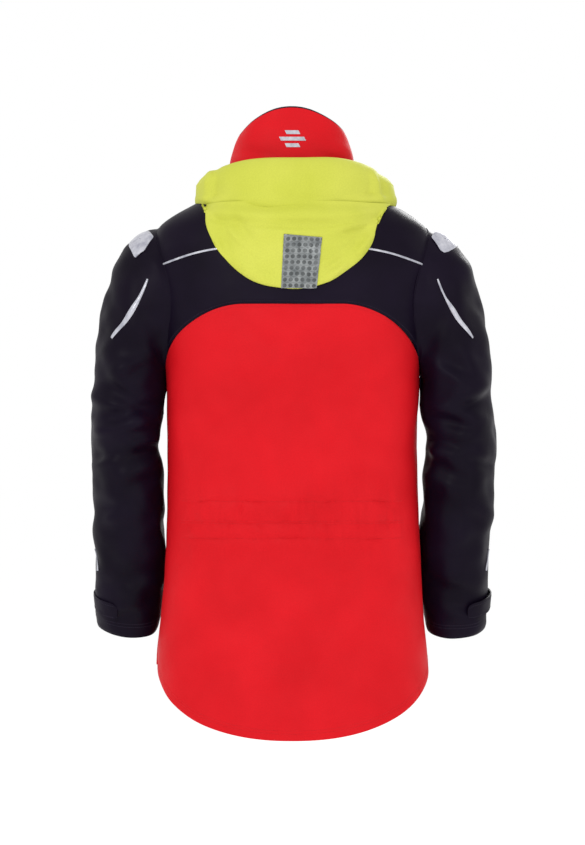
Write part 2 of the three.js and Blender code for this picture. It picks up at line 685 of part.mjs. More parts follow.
function hoodBag() {
  const top = HOOD_FOLD_Z - SEAM_GAP;
  const bag = cut(hoodBody(0, top), ...swungBack(top));
  const room = cut(hoodBody(HOOD_WALL, top + OVERRUN), torsoSolid(HOOD_CLEARANCE + HOOD_WALL));
  add('hood_bag', cut(bag, room), yellowShell);

  const brim = cut(hoodBody(HOOD_WALL + 2, top), hoodBody(HOOD_WALL + 5, top + OVERRUN));
  const reach = solid(block([-PEAK_WIDTH / 2, BAG_CENTRE_Y + BAG_BACK / 2, top - 4 - PEAK_DEPTH],
    [PEAK_WIDTH / 2, FAR, top - 4]));
  add('hood_peak', common(brim, reach), yellowShell);

  const film = cut(hoodBody(-TRIM_GAP - TRIM_THICK, top), hoodBody(-TRIM_GAP, top + OVERRUN));
  const lean = 4;
  const low = HOOD_FOLD_Z - PATCH_BELOW_FOLD - PATCH_HEIGHT;
  const across = outline([
    [-PATCH_WIDTH * 0.64, low], [PATCH_WIDTH * 0.3, low],
    [PATCH_WIDTH * 0.23, low + PATCH_HEIGHT + lean], [-PATCH_WIDTH * 0.77, low + PATCH_HEIGHT]]);
  const patch = common(film, solid(through(across, BAG_CENTRE_Y + BAG_BACK / 3, FAR)));
  add('hood_patch', cut(patch, torsoSolid(HOOD_CLEARANCE)), reflective);
}

// ---- Sleeves --------------------------------------------------------------

function sleeves() {
  const upper = sleeveShell(UPPER_STATIONS, 0, SLEEVE_WALL);
  addPair('upper_sleeve', cut(upper, torsoSolid(ARMHOLE_GAP)), navyShell);
  const lower = sleeveShell(FOREARM_STATIONS, 0, SLEEVE_WALL);
  addPair('forearm_sleeve', lower, navyShell);
}

/** A close-fitting wrist seal that narrows down inside the sleeve end. */
function innerCuffs() {
  const seal = (turn, t) => {
    const from = offsetPoint(sleeve, turn, INNER_CUFF_TOP, -SLEEVE_WALL - LAYER_GAP);
    const centre = sleeve(0, INNER_CUFF_TOP).add(sleeve(Math.PI, INNER_CUFF_TOP)).divideScalar(2);
    const to = centre.clone().add(new THREE.Vector3(
      Math.cos(turn) * INNER_CUFF_HALF, Math.sin(turn) * INNER_CUFF_HALF - 8, -INNER_CUFF_LENGTH));
    return from.lerp(to, Math.sin((t * Math.PI) / 2) ** 0.8);
  };
  const heights = [0.02, 0.2, 0.5, 0.98];
  const rings = (out) => ringsOf((turn, t) => seal(turn, 1 - t), heights, out, 20);
  addPair('inner_cuff', solid(tube(rings(0), rings(-INNER_CUFF_WALL))), neoprene);
}

/** A strap round the outside of the wrist, with the grip pad that it closes on. */
function cuffTabs() {
  const edges = [0.62, 0.62 + (TAB_WIDTH / FOREARM) * 5.2];
  const under = [edges[0] + 0.06, edges[1] - 0.06];
  const rows = [edges[0], ...under, edges[1]];
  const turns = facets(-2, 4, SLEEVE_SEGMENTS);
  addPair('cuff_tab', sheet(sleeve, turns, rows, GRIP_THICK + 2 * LAYER_GAP,
    GRIP_THICK + 2 * LAYER_GAP + TAB_THICK), navyShell);
  addPair('cuff_grip_pad', sheet(sleeve, facets(-2, 1, SLEEVE_SEGMENTS), under, LAYER_GAP,
    LAYER_GAP + GRIP_THICK), webbing);
}

// ---- Reflective trim ------------------------------------------------------

function trimOnTorso(shape) {
  const turns = facets(0, BODY_SEGMENTS / 4, BODY_SEGMENTS);
  const heights = BODY_HEIGHTS.filter((z) => z > UNDERARM_Z);
  const film = solid(sheet(torso, turns, heights, TRIM_GAP, TRIM_GAP + TRIM_THICK));
  return common(film, solid(through(shape, 1, FAR)));
}

function trimOnSleeve(shape, stations, fromY) {
  const turns = facets(-2, 8, SLEEVE_SEGMENTS);
  const film = solid(sheet(sleeve, turns, stations, TRIM_GAP, TRIM_GAP + TRIM_THICK));
  return common(film, solid(through(shape, fromY, FAR)));
}

function curveThrough(points) {
  return new THREE.SplineCurve(points.map(([x, z]) => new THREE.Vector2(x, z)));
}

function reflectiveTrim() {
  const shoulder = SHOULDER_Z;
  const yokeRun = curveThrough([
    [NECK_HALF + 22, shoulder - 36], [NECK_HALF + 60, shoulder - 43],
    [CHEST_HALF - 5, shoulder - 55], [CHEST_HALF + 5, shoulder - 58]]);
  const arm = solid(loft(ringsOf(sleeve, UPPER_STATIONS, SEAM_GAP, SLEEVE_SEGMENTS)));
  addPair('yoke_piping', cut(trimOnTorso(stripe(yokeRun, PIPING_WIDTH)), arm), reflective);

  const bodySide = torsoSolid(TRIM_GAP + TRIM_THICK + SEAM_GAP);
  const armRun = curveThrough([
    [SHOULDER_HALF + 4, shoulder - 84], [SHOULDER_HALF + 20, shoulder - 119],
    [SHOULDER_HALF + 39, shoulder - 150], [SHOULDER_HALF + 60, shoulder - 176]]);
  const armStripe = trimOnSleeve(stripe(armRun, PIPING_WIDTH), UPPER_STATIONS.slice(2, -1), 2);
  addPair('sleeve_piping', cut(armStripe, bodySide), reflective);

  const badge = outline([
    [-0.42, 0.55], [-0.65, 0.22], [-0.32, -0.3], [0.05, -0.62], [0.46, -0.2], [0.42, 0.5]]
    .map(([x, z]) => [SHOULDER_HALF + 21 + x * BADGE_SIZE, shoulder - 22 + z * BADGE_SIZE]));
  addPair('shoulder_badge', cut(trimOnSleeve(badge, UPPER_STATIONS.slice(4, -1), -14), bodySide), reflective);

  const wrist = curveThrough([
    [CHEST_HALF + 109, CUFF_Z + 90], [CHEST_HALF + 112, CUFF_Z + 108], [CHEST_HALF + 113, CUFF_Z + 124]]);
  const flash = trimOnSleeve(stripe(wrist, FLASH_WIDTH), FOREARM_STATIONS.slice(2, 5), -FOREARM_FORWARD / 2);
  addPair('forearm_flash', flash, reflective);
}

// ---- Front closure --------------------------------------------------------

const PLACKET = new THREE.Matrix4()
  .makeRotationX(-FRONT_LEAN)
  .setPosition(0, -HEM_FRONT, 0);
const alongFront = (z) => z / Math.cos(FRONT_LEAN);
const ZIP_LOW = alongFront(HEM_Z + 12);
const ZIP_HIGH = alongFront(COLLAR_TOP_Z - 12);
const TEETH_DEPTH = 2.8;
const TAPE_DEPTH = SHELL + 2.2;

function onFront(low, high) {
  return block(low, high, PLACKET);
}

function zip() {
  const teethEdge = TEETH_GAP + TEETH_WIDTH;
  addPair('zip_teeth', onFront([TEETH_GAP, TEETH_DEPTH, ZIP_LOW],
    [teethEdge, TEETH_DEPTH + TEETH_THICK, ZIP_HIGH]), zipPlastic);
  addPair('zip_tape', onFront([teethEdge + SEAM_GAP / 2, TAPE_DEPTH, ZIP_LOW - 4],
    [teethEdge + TAPE_WIDTH, TAPE_DEPTH + TAPE_THICK, ZIP_HIGH + 4]), webbing);
  add('zip_box', onFront([-teethEdge, TEETH_DEPTH - 1, ZIP_LOW - 12],
    [teethEdge, TEETH_DEPTH + 3, ZIP_LOW - SEAM_GAP]), zipPlastic);

  const top = ZIP_HIGH - 2;
  const front = solid(onFront([-SLIDER_WIDTH / 2, TEETH_DEPTH - SEAM_GAP - SLIDER_PLATE, top - SLIDER_LENGTH],
    [SLIDER_WIDTH / 2, TEETH_DEPTH - SEAM_GAP, top]));
  const rear = TEETH_DEPTH + TEETH_THICK + SEAM_GAP;
  const back = solid(onFront([-teethEdge, rear, top - SLIDER_LENGTH], [teethEdge, rear + SLIDER_PLATE, top]));
  const wedge = solid(onFront([-TEETH_GAP + 0.4, TEETH_DEPTH - SEAM_GAP - 0.2, top - 6],
    [TEETH_GAP - 0.4, rear + 0.2, top]));
  const lug = (side) => solid(onFront([side * 2.2 - 0.7, -1.6, top - 7], [side * 2.2 + 0.7, 1.2, top - 1]));
  add('zip_slider', front.add(back).add(wedge).add(lug(1)).add(lug(-1)), zipPlastic);
  const eye = top - 4;
  const stem = solid(onFront([-1.2, -1.4, eye - 8], [1.2, -1.4 + PULLER_THICK, eye + 1]));
  const grip = solid(onFront([-PULLER_WIDTH / 2, -1.4, eye - PULLER_LENGTH],
    [PULLER_WIDTH / 2, -1.4 + PULLER_THICK, eye - 7]));
  add('zip_puller', stem.add(grip), zipPlastic);
}

function stormFlap() {
  const [low, high] = [alongFront(HEM_Z + 8), alongFront(COLLAR_TOP_Z - FLAP_BELOW_COLLAR_TOP)];
  const face = -FLAP_STANDOFF - FLAP_THICK;
  add('storm_flap', onFront([-FLAP_HALF, face, low], [FLAP_HALF, -FLAP_STANDOFF, high]), redShell);
  const seat = solid(onFront([FLAP_HALF + SEAM_GAP, face, low], [FLAP_HALF + FLAP_BASE, FRONT_SLOT, high]));
  add('storm_flap_base', cut(seat, torsoSolid(LAYER_GAP), collarSolid(LAYER_GAP)), redShell);
  const edge = -FLAP_HALF + 4;
  add('flap_grip_strip', onFront([edge, -FLAP_STANDOFF + LAYER_GAP, low + 10],
    [edge + GRIP_WIDTH, -FLAP_STANDOFF + LAYER_GAP + GRIP_THICK, alongFront(NECK_Z - 10)]), webbing);
  add('front_grip_strip', onFront([edge, -LAYER_GAP - GRIP_THICK, low + 10],
    [edge + GRIP_WIDTH, -LAYER_GAP, alongFront(NECK_Z - 10)]), webbing);
}

// ---- Cargo pockets --------------------------------------------------------

/** A frame on the left front: X across the pocket, Y into the body, Z up. */
function pocketFrame() {
  const z = HEM_Z + POCKET_ABOVE_HEM + POCKET_HEIGHT / 2;
  const turn = -Math.acos((POCKET_SIDE / torsoHalf(z)) ** (SECTION_SQUARENESS / 2));
  const inward = torso(turn, z).sub(offsetPoint(torso, turn, z, 1));
  const up = new THREE.Vector3(0, 0, 1);
  up.addScaledVector(inward, -up.dot(inward)).normalize();
  const across = inward.clone().cross(up);
  return new THREE.Matrix4().makeBasis(across, inward, up).setPosition(torso(turn, z));
}

function cargoPockets() {
  const frame = pocketFrame();
  const [half, top] = [POCKET_WIDTH / 2, POCKET_HEIGHT / 2];
  const inner = half - POCKET_WALL;
  const outer = solid(block([-half, -POCKET_DEPTH, -top], [half, POCKET_DEPTH * 2, top], frame));
  const room = solid(block([-inner, -POCKET_DEPTH + POCKET_WALL, -top + POCKET_WALL],
    [inner, POCKET_DEPTH * 2, top + OVERRUN], frame));
  const bag = cut(outer, torsoSolid(LAYER_GAP));
  addPair('cargo_pocket', cut(bag, cut(room, torsoSolid(LAYER_GAP + POCKET_WALL))), redShell);

  const reach = half + POCKET_FLAP_LAP;
  const face = -POCKET_DEPTH - SEAM_GAP - POCKET_FLAP_THICK;
  const lid = top + POCKET_FLAP_LAP;
  const cover = solid(block([-reach, face, lid - POCKET_FLAP_DROP],
    [reach, face + POCKET_FLAP_THICK, lid + POCKET_FLAP_THICK], frame));
  const shelf = solid(block([-reach, face, lid], [reach, -2, lid + POCKET_FLAP_THICK], frame));
  addPair('pocket_flap', cover.add(shelf), navyShell);
}

// ---- The jacket -----------------------------------------------------------

bodyPanels();
hemAndWaist();
collarPieces();
hangLoop();
hoodRoll();
hoodBag();
sleeves();
innerCuffs();
cuffTabs();
reflectiveTrim();
zip();
stormFlap();
cargoPockets();
jacket.position.copy(LOOP_MOUNT).negate();

const model = new THREE.Group();
model.add(jacket);
export default model;
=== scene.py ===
"""Foul weather jacket for sailing: the dressed model on its CAD frame.

Shapes are worked out in millimetres, with heights from the lowest point of the
tail hem, the front towards -Y and the wearer's left at +X. Placing a mesh in
the scene moves it to the hanging loop and turns it into metres.
"""

import logging
import math
from collections.abc import Callable, Iterable, Sequence
from dataclasses import dataclass, field
from enum import Enum

import bmesh
import bpy
import numpy as np
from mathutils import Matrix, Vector


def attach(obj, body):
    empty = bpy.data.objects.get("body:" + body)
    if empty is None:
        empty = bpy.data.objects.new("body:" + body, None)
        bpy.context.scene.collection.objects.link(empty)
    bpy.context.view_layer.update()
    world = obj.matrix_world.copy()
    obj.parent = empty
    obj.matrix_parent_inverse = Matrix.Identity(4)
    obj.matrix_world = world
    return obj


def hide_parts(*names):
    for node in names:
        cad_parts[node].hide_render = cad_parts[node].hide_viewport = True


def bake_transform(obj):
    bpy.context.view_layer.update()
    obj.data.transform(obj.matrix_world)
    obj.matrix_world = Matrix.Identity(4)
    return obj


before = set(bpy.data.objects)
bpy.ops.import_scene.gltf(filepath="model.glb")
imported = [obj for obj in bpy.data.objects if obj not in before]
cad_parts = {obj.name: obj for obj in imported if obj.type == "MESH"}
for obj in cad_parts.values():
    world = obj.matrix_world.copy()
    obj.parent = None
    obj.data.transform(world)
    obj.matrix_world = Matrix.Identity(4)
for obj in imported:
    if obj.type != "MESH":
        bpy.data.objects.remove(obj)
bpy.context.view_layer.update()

Array = np.ndarray
Spot = tuple[float, float]
LOG = logging.getLogger("jacket")

MM = 0.001
LOOP_MOUNT = np.array([0.0, 65.0345, 903.0])
QUARTER = math.pi / 2


class Side(Enum):
    """The wearer's left and right."""

    LEFT = 1
    RIGHT = -1

    @property
    def word(self) -> str:
        """The side as names use it."""
        return self.name.lower()


class FoldShape(Enum):
    """How the cloth stands along a fold."""

    SOFT = "soft"
    SHARP = "sharp"
    LAP = "lap"


# ---- Curves and noise ------------------------------------------------------


class Profile:
    """A smooth value along a line of stations."""

    def __init__(self, stations: Iterable[Spot]) -> None:
        """Args:
        stations: (position, value) pairs in rising order.
        """
        self.at, self.value = np.array(list(stations), float).T
        inside = np.diff(self.value) / np.diff(self.at)
        slope = np.concatenate([inside[:1], (inside[1:] + inside[:-1]) / 2, inside[-1:]])
        self.slope = slope

    def __call__(self, at: Array | float) -> Array:
        """Value at a position."""
        where = np.asarray(at, float)
        i = np.clip(np.searchsorted(self.at, where, side="right") - 1, 0, len(self.at) - 2)
        span = self.at[i + 1] - self.at[i]
        t = np.clip((where - self.at[i]) / span, 0, 1)
        rest = 1 - t
        return (
            self.value[i] * (1 + 2 * t) * rest * rest
            + self.slope[i] * span * t * rest * rest
            + self.value[i + 1] * t * t * (3 - 2 * t)
            - self.slope[i + 1] * span * t * t * rest
        )


class Spline:
    """A centripetal curve through points, with one unit for each point."""

    def __init__(self, points: Iterable[Spot]) -> None:
        """Args:
        points: the points it passes through.
        """
        p = np.array(list(points), float)
        p = np.vstack([2 * p[0] - p[1], p, 2 * p[-1] - p[-2]])
        gap = np.linalg.norm(np.diff(p, axis=0), axis=1) ** 0.5
        parts = []
        for i in range(1, len(p) - 2):
            d0, d1, d2 = gap[i - 1], gap[i], gap[i + 1]
            t1 = (p[i] - p[i - 1]) / d0 - (p[i + 1] - p[i - 1]) / (d0 + d1) + (p[i + 1] - p[i]) / d1
            t2 = (p[i + 1] - p[i]) / d1 - (p[i + 2] - p[i]) / (d1 + d2) + (p[i + 2] - p[i + 1]) / d2
            t1, t2 = t1 * d1, t2 * d1
            step = p[i + 1] - p[i]
            parts.append((p[i], t1, 3 * step - 2 * t1 - t2, -2 * step + t1 + t2))
        self.parts = np.array(parts)

    def __call__(self, at: Array | float) -> Array:
        """Points at the given stations."""
        where = np.clip(np.asarray(at, float), 0, len(self.parts))
        i = np.clip(where.astype(int), 0, len(self.parts) - 1)
        t = (where - i)[..., None]
        c = self.parts[i]
        return c[..., 0, :] + t * (c[..., 1, :] + t * (c[..., 2, :] + t * c[..., 3, :]))


def swell(points: Array, length: float, seed: int, count: int = 22) -> Array:
    """Smooth random swells.

    Args:
        points: positions in mm, in the last axis.
        length: the usual length of a swell, in mm.
        seed: chooses the pattern.
        count: how many waves make it up.

    Returns:
        Heights of about -1 to 1.
    """
    rng = np.random.default_rng(seed)
    ways = rng.normal(size=(count, points.shape[-1]))
    ways /= np.linalg.norm(ways, axis=1, keepdims=True)
    ways *= (2 * math.pi / (length * rng.uniform(0.7, 1.6, count)))[:, None]
    phase = rng.uniform(0, 2 * math.pi, count)
    return np.cos(points @ ways.T + phase).sum(-1) / math.sqrt(count)


def ramp(at: Array, start: float, end: float) -> Array:
    """A smooth step from 0 at start to 1 at end."""
    t = np.clip((at - start) / (end - start), 0, 1)
    return t * t * (3 - 2 * t)


@dataclass(frozen=True)
class Fold:
    """One fold in the cloth, drawn as seen square on from behind or in front."""

    start: Spot
    end: Spot
    width: float
    height: float
    shape: FoldShape = FoldShape.SOFT

    def lift(self, across: Array, up: Array) -> Array:
        """How far the fold lifts the cloth.

        Args:
            across: positions across the jacket, in mm.
            up: heights, in mm.

        Returns:
            The lift in mm.
        """
        a, b = np.array(self.start), np.array(self.end)
        way = b - a
        length = float(np.hypot(*way))
        way = way / length
        dx, dz = across - a[0], up - a[1]
        along = dx * way[0] + dz * way[1]
        off = (dx * -way[1] + dz * way[0]) / self.width
        past = np.maximum(0, np.abs(along - length / 2) - length / 2) / self.width
        share = np.clip(along / length, 0, 1)
        taper = np.exp(-(past**2)) * (0.35 + 0.65 * np.sin(math.pi * share))
        if self.shape is FoldShape.SOFT:
            return self.height * np.exp(-(off**2)) * taper
        if self.shape is FoldShape.SHARP:
            return self.height * np.exp(-np.sqrt(off**2 + 0.02) * 1.6) * taper
        return self.height * off * np.exp(0.5 - off**2) * 1.4 * taper


# ---- The surfaces that the cloth lies on -----------------------------------


@dataclass(frozen=True)
class BodyForm:
    """The outer surface of the jacket's body, in mm."""

    tail_drop: float = 110
    waist_above_hem: float = 232
    underarm_above_waist: float = 235
    armhole_depth: float = 236
    shoulder_drop: float = 77
    collar_height: float = 116
    hem_half: float = 219
    waist_half: float = 203
    chest_half: float = 205
    shoulder_half: float = 228
    neck_half: float = 101
    hem_back: float = 148
    waist_back: float = 130
    blade_back: float = 136
    shoulder_back: float = 112
    neck_back: float = 84
    hem_front: float = 150
    front_lean: float = math.radians(3.8)
    squareness: float = 2.5
    overrun: float = 10

    @property
    def hem(self) -> float:
        """Height of the hem at the sides."""
        return self.tail_drop

    @property
    def waist(self) -> float:
        """Height of the waist."""
        return self.hem + self.waist_above_hem

    @property
    def underarm(self) -> float:
        """Height of the underarm."""
        return self.waist + self.underarm_above_waist

    @property
    def shoulder(self) -> float:
        """Height of the shoulder point."""
        return self.underarm + self.armhole_depth

    @property
    def neck(self) -> float:
        """Height of the neck seam."""
        return self.shoulder + self.shoulder_drop

    @property
    def top(self) -> float:
        """Height of the collar's top edge."""
        return self.neck + self.collar_height

    def half(self, z: Array | float) -> Array:
        """Half width at a height."""
        shoulder, neck = self.shoulder_half, self.neck_half
        drop = self.shoulder_drop

        def mix(share: float) -> float:
            """Half width part of the way in to the neck."""
            return shoulder + (neck - shoulder) * share

        return Profile([
            (0, self.hem_half),
            (self.hem, self.hem_half),
            (self.waist - self.waist_above_hem / 2, (self.hem_half + 2 * self.waist_half) / 3),
            (self.waist, self.waist_half),
            (self.underarm - self.underarm_above_waist / 2, (self.waist_half + self.chest_half) / 2 - 3),
            (self.underarm, self.chest_half),
            (self.shoulder - self.armhole_depth / 2, (self.chest_half + shoulder) / 2),
            (self.shoulder - self.armhole_depth / 9, shoulder - 2),
            (self.shoulder + drop / 16, shoulder - 13),
            (self.shoulder + drop * 0.32, mix(0.3)),
            (self.shoulder + drop * 0.57, mix(0.57)),
            (self.shoulder + drop * 0.8, mix(0.84)),
            (self.neck + self.overrun, neck - self.overrun / 2),
        ])(z)

    def back(self, z: Array | float) -> Array:
        """Depth behind the side seams at a height."""
        return Profile([
            (0, self.hem_back),
            (self.waist, self.waist_back),
            (self.underarm + self.armhole_depth / 3, self.blade_back),
            (self.shoulder, self.shoulder_back),
            (self.neck, self.neck_back),
        ])(z)

    def front(self, z: Array | float) -> Array:
        """Depth in front of the side seams at a height."""
        return self.hem_front - np.asarray(z, float) * math.tan(self.front_lean)

    def section(self, turn: Array, z: Array, half: Array, back: Array) -> Array:
        """Points of a rounded section; turn 0 is the left side, a quarter turn the back."""
        power = 2 / self.squareness
        c, s = np.cos(turn), np.sin(turn)
        depth = np.where(s > 0, back, self.front(z))
        x = np.sign(c) * np.abs(c) ** power * half
        y = np.sign(s) * np.abs(s) ** power * depth
        return np.stack([x, y, np.broadcast_to(z, x.shape)], -1)

    def torso(self, turn: Array, z: Array) -> Array:
        """Points of the body."""
        turn, z = np.broadcast_arrays(np.asarray(turn, float), np.asarray(z, float))
        return self.section(turn, z, self.half(z), self.back(z))

    def collar(self, turn: Array, z: Array) -> Array:
        """Points of the collar."""
        turn, z = np.broadcast_arrays(np.asarray(turn, float), np.asarray(z, float))
        rise = (z - self.neck) / self.collar_height
        ease = np.sign(rise) * np.abs(rise) ** 1.6
        half = self.neck_half + (77 - self.neck_half) * ease
        return self.section(turn, z, half, self.neck_back + (70 - self.neck_back) * rise)

    def collar_edge(self, turn: Array) -> Array:
        """Height of the collar's edge: highest at the centre, dipping at the sides."""
        x = self.collar(turn, np.full_like(turn, self.top - 30))[..., 0]
        across = np.clip(np.abs(x) / (self.neck_half + 4), 0, 1)
        return self.top - 94 * (1 - np.sqrt(1 - across**2))

    def within(self, points: Array, margin: float = 0) -> Array:
        """How far inside the body points are: negative inside, positive outside."""
        x, y, z = np.moveaxis(points, -1, 0)
        depth = np.where(y > 0, self.back(z), self.front(z)) + margin
        half = self.half(z) + margin
        return (np.abs(x) / half) ** self.squareness + (np.abs(y) / depth) ** self.squareness - 1

    def behind(self, x: Array, z: Array) -> Array:
        """Depth of the back surface at a place."""
        across = np.clip(np.abs(x) / self.half(z), 0, 1)
        return self.back(z) * (1 - across**self.squareness) ** (1 / self.squareness)

    def ahead(self, x: Array, z: Array) -> Array:
        """Depth of the front surface at a place, as a negative number."""
        across = np.clip(np.abs(x) / self.half(z), 0, 1)
        return -self.front(z) * (1 - across**self.squareness) ** (1 / self.squareness)

    def on_placket(self, x: Array, y: Array, run: Array) -> Array:
        """Points in the plane of the leaning front edge: across, into the body, and along it."""
        c, s = math.cos(self.front_lean), math.sin(self.front_lean)
        x, y, run = np.broadcast_arrays(np.asarray(x, float), np.asarray(y, float), np.asarray(run, float))
        return np.stack([x, -self.hem_front + y * c + run * s, run * c - y * s], -1)

    def even_turns(self, start: float, end: float, count: int, z: float) -> Array:
        """Turns that are evenly spaced round the body at one height."""
        fine = np.linspace(start, end, 3000)
        steps = np.linalg.norm(np.diff(self.torso(fine, z), axis=0), axis=1)
        run = np.concatenate([[0], np.cumsum(steps)])
        return np.interp(np.linspace(0, run[-1], count), run, fine)

    def tail(self, x: Array, margin: float = 0) -> Array:
        """Height of the curved tail hem across the back."""
        across = np.clip(np.abs(x) / self.hem_half, 0, 1)
        return margin + self.tail_drop * (1 - np.sqrt(1 - across**2.2))

    def yoke(self, x: Array, margin: float = 0) -> Array:
        """Height of the back yoke seam: level in the middle, rounded down at the sides."""
        across = np.clip((np.abs(x) - (self.chest_half + 2 - 127)) / 127, 0, 1)
        return self.underarm + 14 + 99 * (1 - across**1.8) ** (1 / 1.8) + margin

    def heights(self, turns: Array, line: Callable[[Array], Array]) -> Array:
        """Heights where a line drawn on the back meets the body, for each turn."""
        z = np.full_like(turns, 400.0)
        for _ in range(24):
            z = (z + line(self.torso(turns, z)[..., 0])) / 2
        return z


@dataclass(frozen=True)
class SleeveForm:
    """The outer surface of the wearer's left sleeve, in mm."""

    body: BodyForm = BodyForm()
    bicep: float = 115
    elbow: float = 112
    wrist: float = 111
    cuff: float = 102
    armhole_half: float = 75
    bicep_half: float = 77
    elbow_half: float = 69
    wrist_half: float = 54
    cuff_half: float = 50
    shoulder_to_elbow: float = 341
    forearm: float = 302
    forward: float = 62
    elbow_station: int = 4

    def __post_init__(self) -> None:
        """Works out the edges and the depth of the sleeve."""
        chest, under = self.body.chest_half, self.body.underarm
        elbow_z = self.body.shoulder - self.shoulder_to_elbow
        cuff_z = elbow_z - self.forearm
        rings = [
            ((chest + 10, cuff_z - 2), self.cuff, self.cuff_half, self.forward, 0.4),
            ((chest + 5, cuff_z + 45), self.wrist, self.wrist_half, self.forward * 0.86, 0.3),
            ((chest + 2, elbow_z - self.forearm * 0.55), self.elbow + 2,
             (self.wrist_half + self.elbow_half) / 2, self.forward * 0.5, 0.16),
            ((chest + 5, elbow_z - self.forearm * 0.25), self.elbow + 3,
             self.elbow_half - 3, self.forward * 0.2, 0.05),
            ((chest + 9, elbow_z), self.elbow, self.elbow_half, 5, 0),
            ((chest + 3, (elbow_z + under) / 2), (self.elbow + self.bicep) / 2 + 4,
             (self.elbow_half + self.bicep_half) / 2, 2, 0),
            ((chest + 1, under - 4), self.bicep, self.bicep_half, 0, 0),
        ]
        caps = [(0.22, 0.96, 0.98), (0.52, 0.85, 0.97), (0.82, 0.63, 0.98), (1, 0.22, 1), (1, -0.22, 1)]
        inner = [ring[0] for ring in rings]
        outer = [(ring[0][0] + ring[1], ring[0][1] + 5) for ring in rings]
        for i, (lift, reach, _) in enumerate(caps):
            inner.append((chest + min(reach, 0) * self.bicep * 2, under + 2 * (i + 1)))
            outer.append((chest + 2 + self.bicep * reach, under + self.body.armhole_depth * lift))
        depth = [ring[2] for ring in rings] + [cap[2] * self.armhole_half for cap in caps]
        forward = [ring[3] for ring in rings] + [0] * len(caps)
        tilt = [ring[4] for ring in rings] + [0] * len(caps)
        object.__setattr__(self, "_inner", Spline(inner))
        object.__setattr__(self, "_outer", Spline(outer))
        object.__setattr__(self, "_half", Profile(enumerate(depth)))
        object.__setattr__(self, "_forward", Profile(enumerate(forward)))
        object.__setattr__(self, "_tilt", Profile(enumerate(tilt)))
        object.__setattr__(self, "last", len(depth) - 1)

    def point(self, turn: Array, station: Array) -> Array:
        """Points of the sleeve: turn 0 on its outer edge, station counted up from the cuff."""
        turn, station = np.broadcast_arrays(np.asarray(turn, float), np.asarray(station, float))
        low, high = self._inner(station), self._outer(station)
        flat = (low + high) / 2 + (high - low) / 2 * np.cos(turn)[..., None]
        back = np.sin(turn) * self._half(station)
        y = back - self._forward(station)
        return np.stack([flat[..., 0], y, flat[..., 1] - self._tilt(station) * back], -1)

    def armhole(self, turns: Array) -> Array:
        """Stations where the sleeve passes into the body, one for each turn."""
        low = np.full_like(turns, 6.05)
        high = np.full_like(turns, self.last - 0.05)
        for _ in range(40):
            middle = (low + high) / 2
            outside = self.body.within(self.point(turns, middle)) > 0
            low, high = np.where(outside, middle, low), np.where(outside, high, middle)
        return (low + high) / 2


# ---- Cloth as a grid of points ---------------------------------------------


@dataclass
class Cloth:
    """A piece of cloth as rows of points, in mm; its outside is where row x column points."""

    points: Array
    closed: bool = False

    def normals(self) -> Array:
        """Directions out of the cloth."""
        p = self.points
        if self.closed:
            along = np.roll(p, -1, 1) - np.roll(p, 1, 1)
        else:
            along = np.gradient(p, axis=1)
        out = np.cross(along, np.gradient(p, axis=0))
        return out / np.maximum(np.linalg.norm(out, axis=-1, keepdims=True), 1e-9)

    def pushed(self, amount: Array | float) -> "Cloth":
        """The cloth moved out along its own directions."""
        amount = np.broadcast_to(np.asarray(amount, float), self.points.shape[:2])
        return Cloth(self.points + self.normals() * amount[..., None], self.closed)

    def mirrored(self) -> "Cloth":
        """The same piece for the other side of the jacket."""
        return Cloth(self.points[:, ::-1] * np.array([-1.0, 1.0, 1.0]), self.closed)

    def on(self, side: Side) -> "Cloth":
        """This piece, made for the wearer's left, for a side."""
        return self if side is Side.LEFT else self.mirrored()

    def folded(self, folds: Iterable[Fold], behind: bool | None = None) -> "Cloth":
        """The cloth with folds pressed into it.

        Args:
            folds: the folds.
            behind: True folds only what faces the back, False only what faces the
                front, None all of it.

        Returns:
            The folded cloth.
        """
        p = self.points
        lift = sum((f.lift(p[..., 0], p[..., 2]) for f in folds), np.zeros(p.shape[:2]))
        if behind is not None:
            facing = self.normals()[..., 1] * (1 if behind else -1)
            lift = lift * ramp(facing, -0.15, 0.45)
        return self.pushed(lift)

    def eased(self, amount: float, length: float, seed: int) -> "Cloth":
        """The cloth with soft random swells."""
        return self.pushed(amount * swell(self.points, length, seed))

    def map(self) -> tuple[Array, Array]:
        """Lengths along the rows and up the columns, in mm, with the closing column."""
        p = self.points
        if self.closed:
            p = np.concatenate([p, p[:, :1]], 1)
        u = np.cumsum(np.linalg.norm(np.diff(p, axis=1), axis=-1), 1)
        u = np.concatenate([np.zeros((len(u), 1)), u], 1)
        v = np.cumsum(np.linalg.norm(np.diff(p, axis=0), axis=-1), 0)
        v = np.concatenate([np.zeros((1, v.shape[1])), v], 0)
        return u - u[:, -1:] / 2, v

    def area(self) -> float:
        """Area of one face, in square metres."""
        p = self.points
        if self.closed:
            p = np.concatenate([p, p[:, :1]], 1)
        a, b = p[1:, 1:] - p[:-1, :-1], p[1:, :-1] - p[:-1, 1:]
        return float(np.linalg.norm(np.cross(a, b), axis=-1).sum() / 2 * MM * MM)


def in_scene(points: Array) -> Array:
    """Points in mm moved to the hanging loop, in metres."""
    return (np.asarray(points, float) - LOOP_MOUNT) * MM


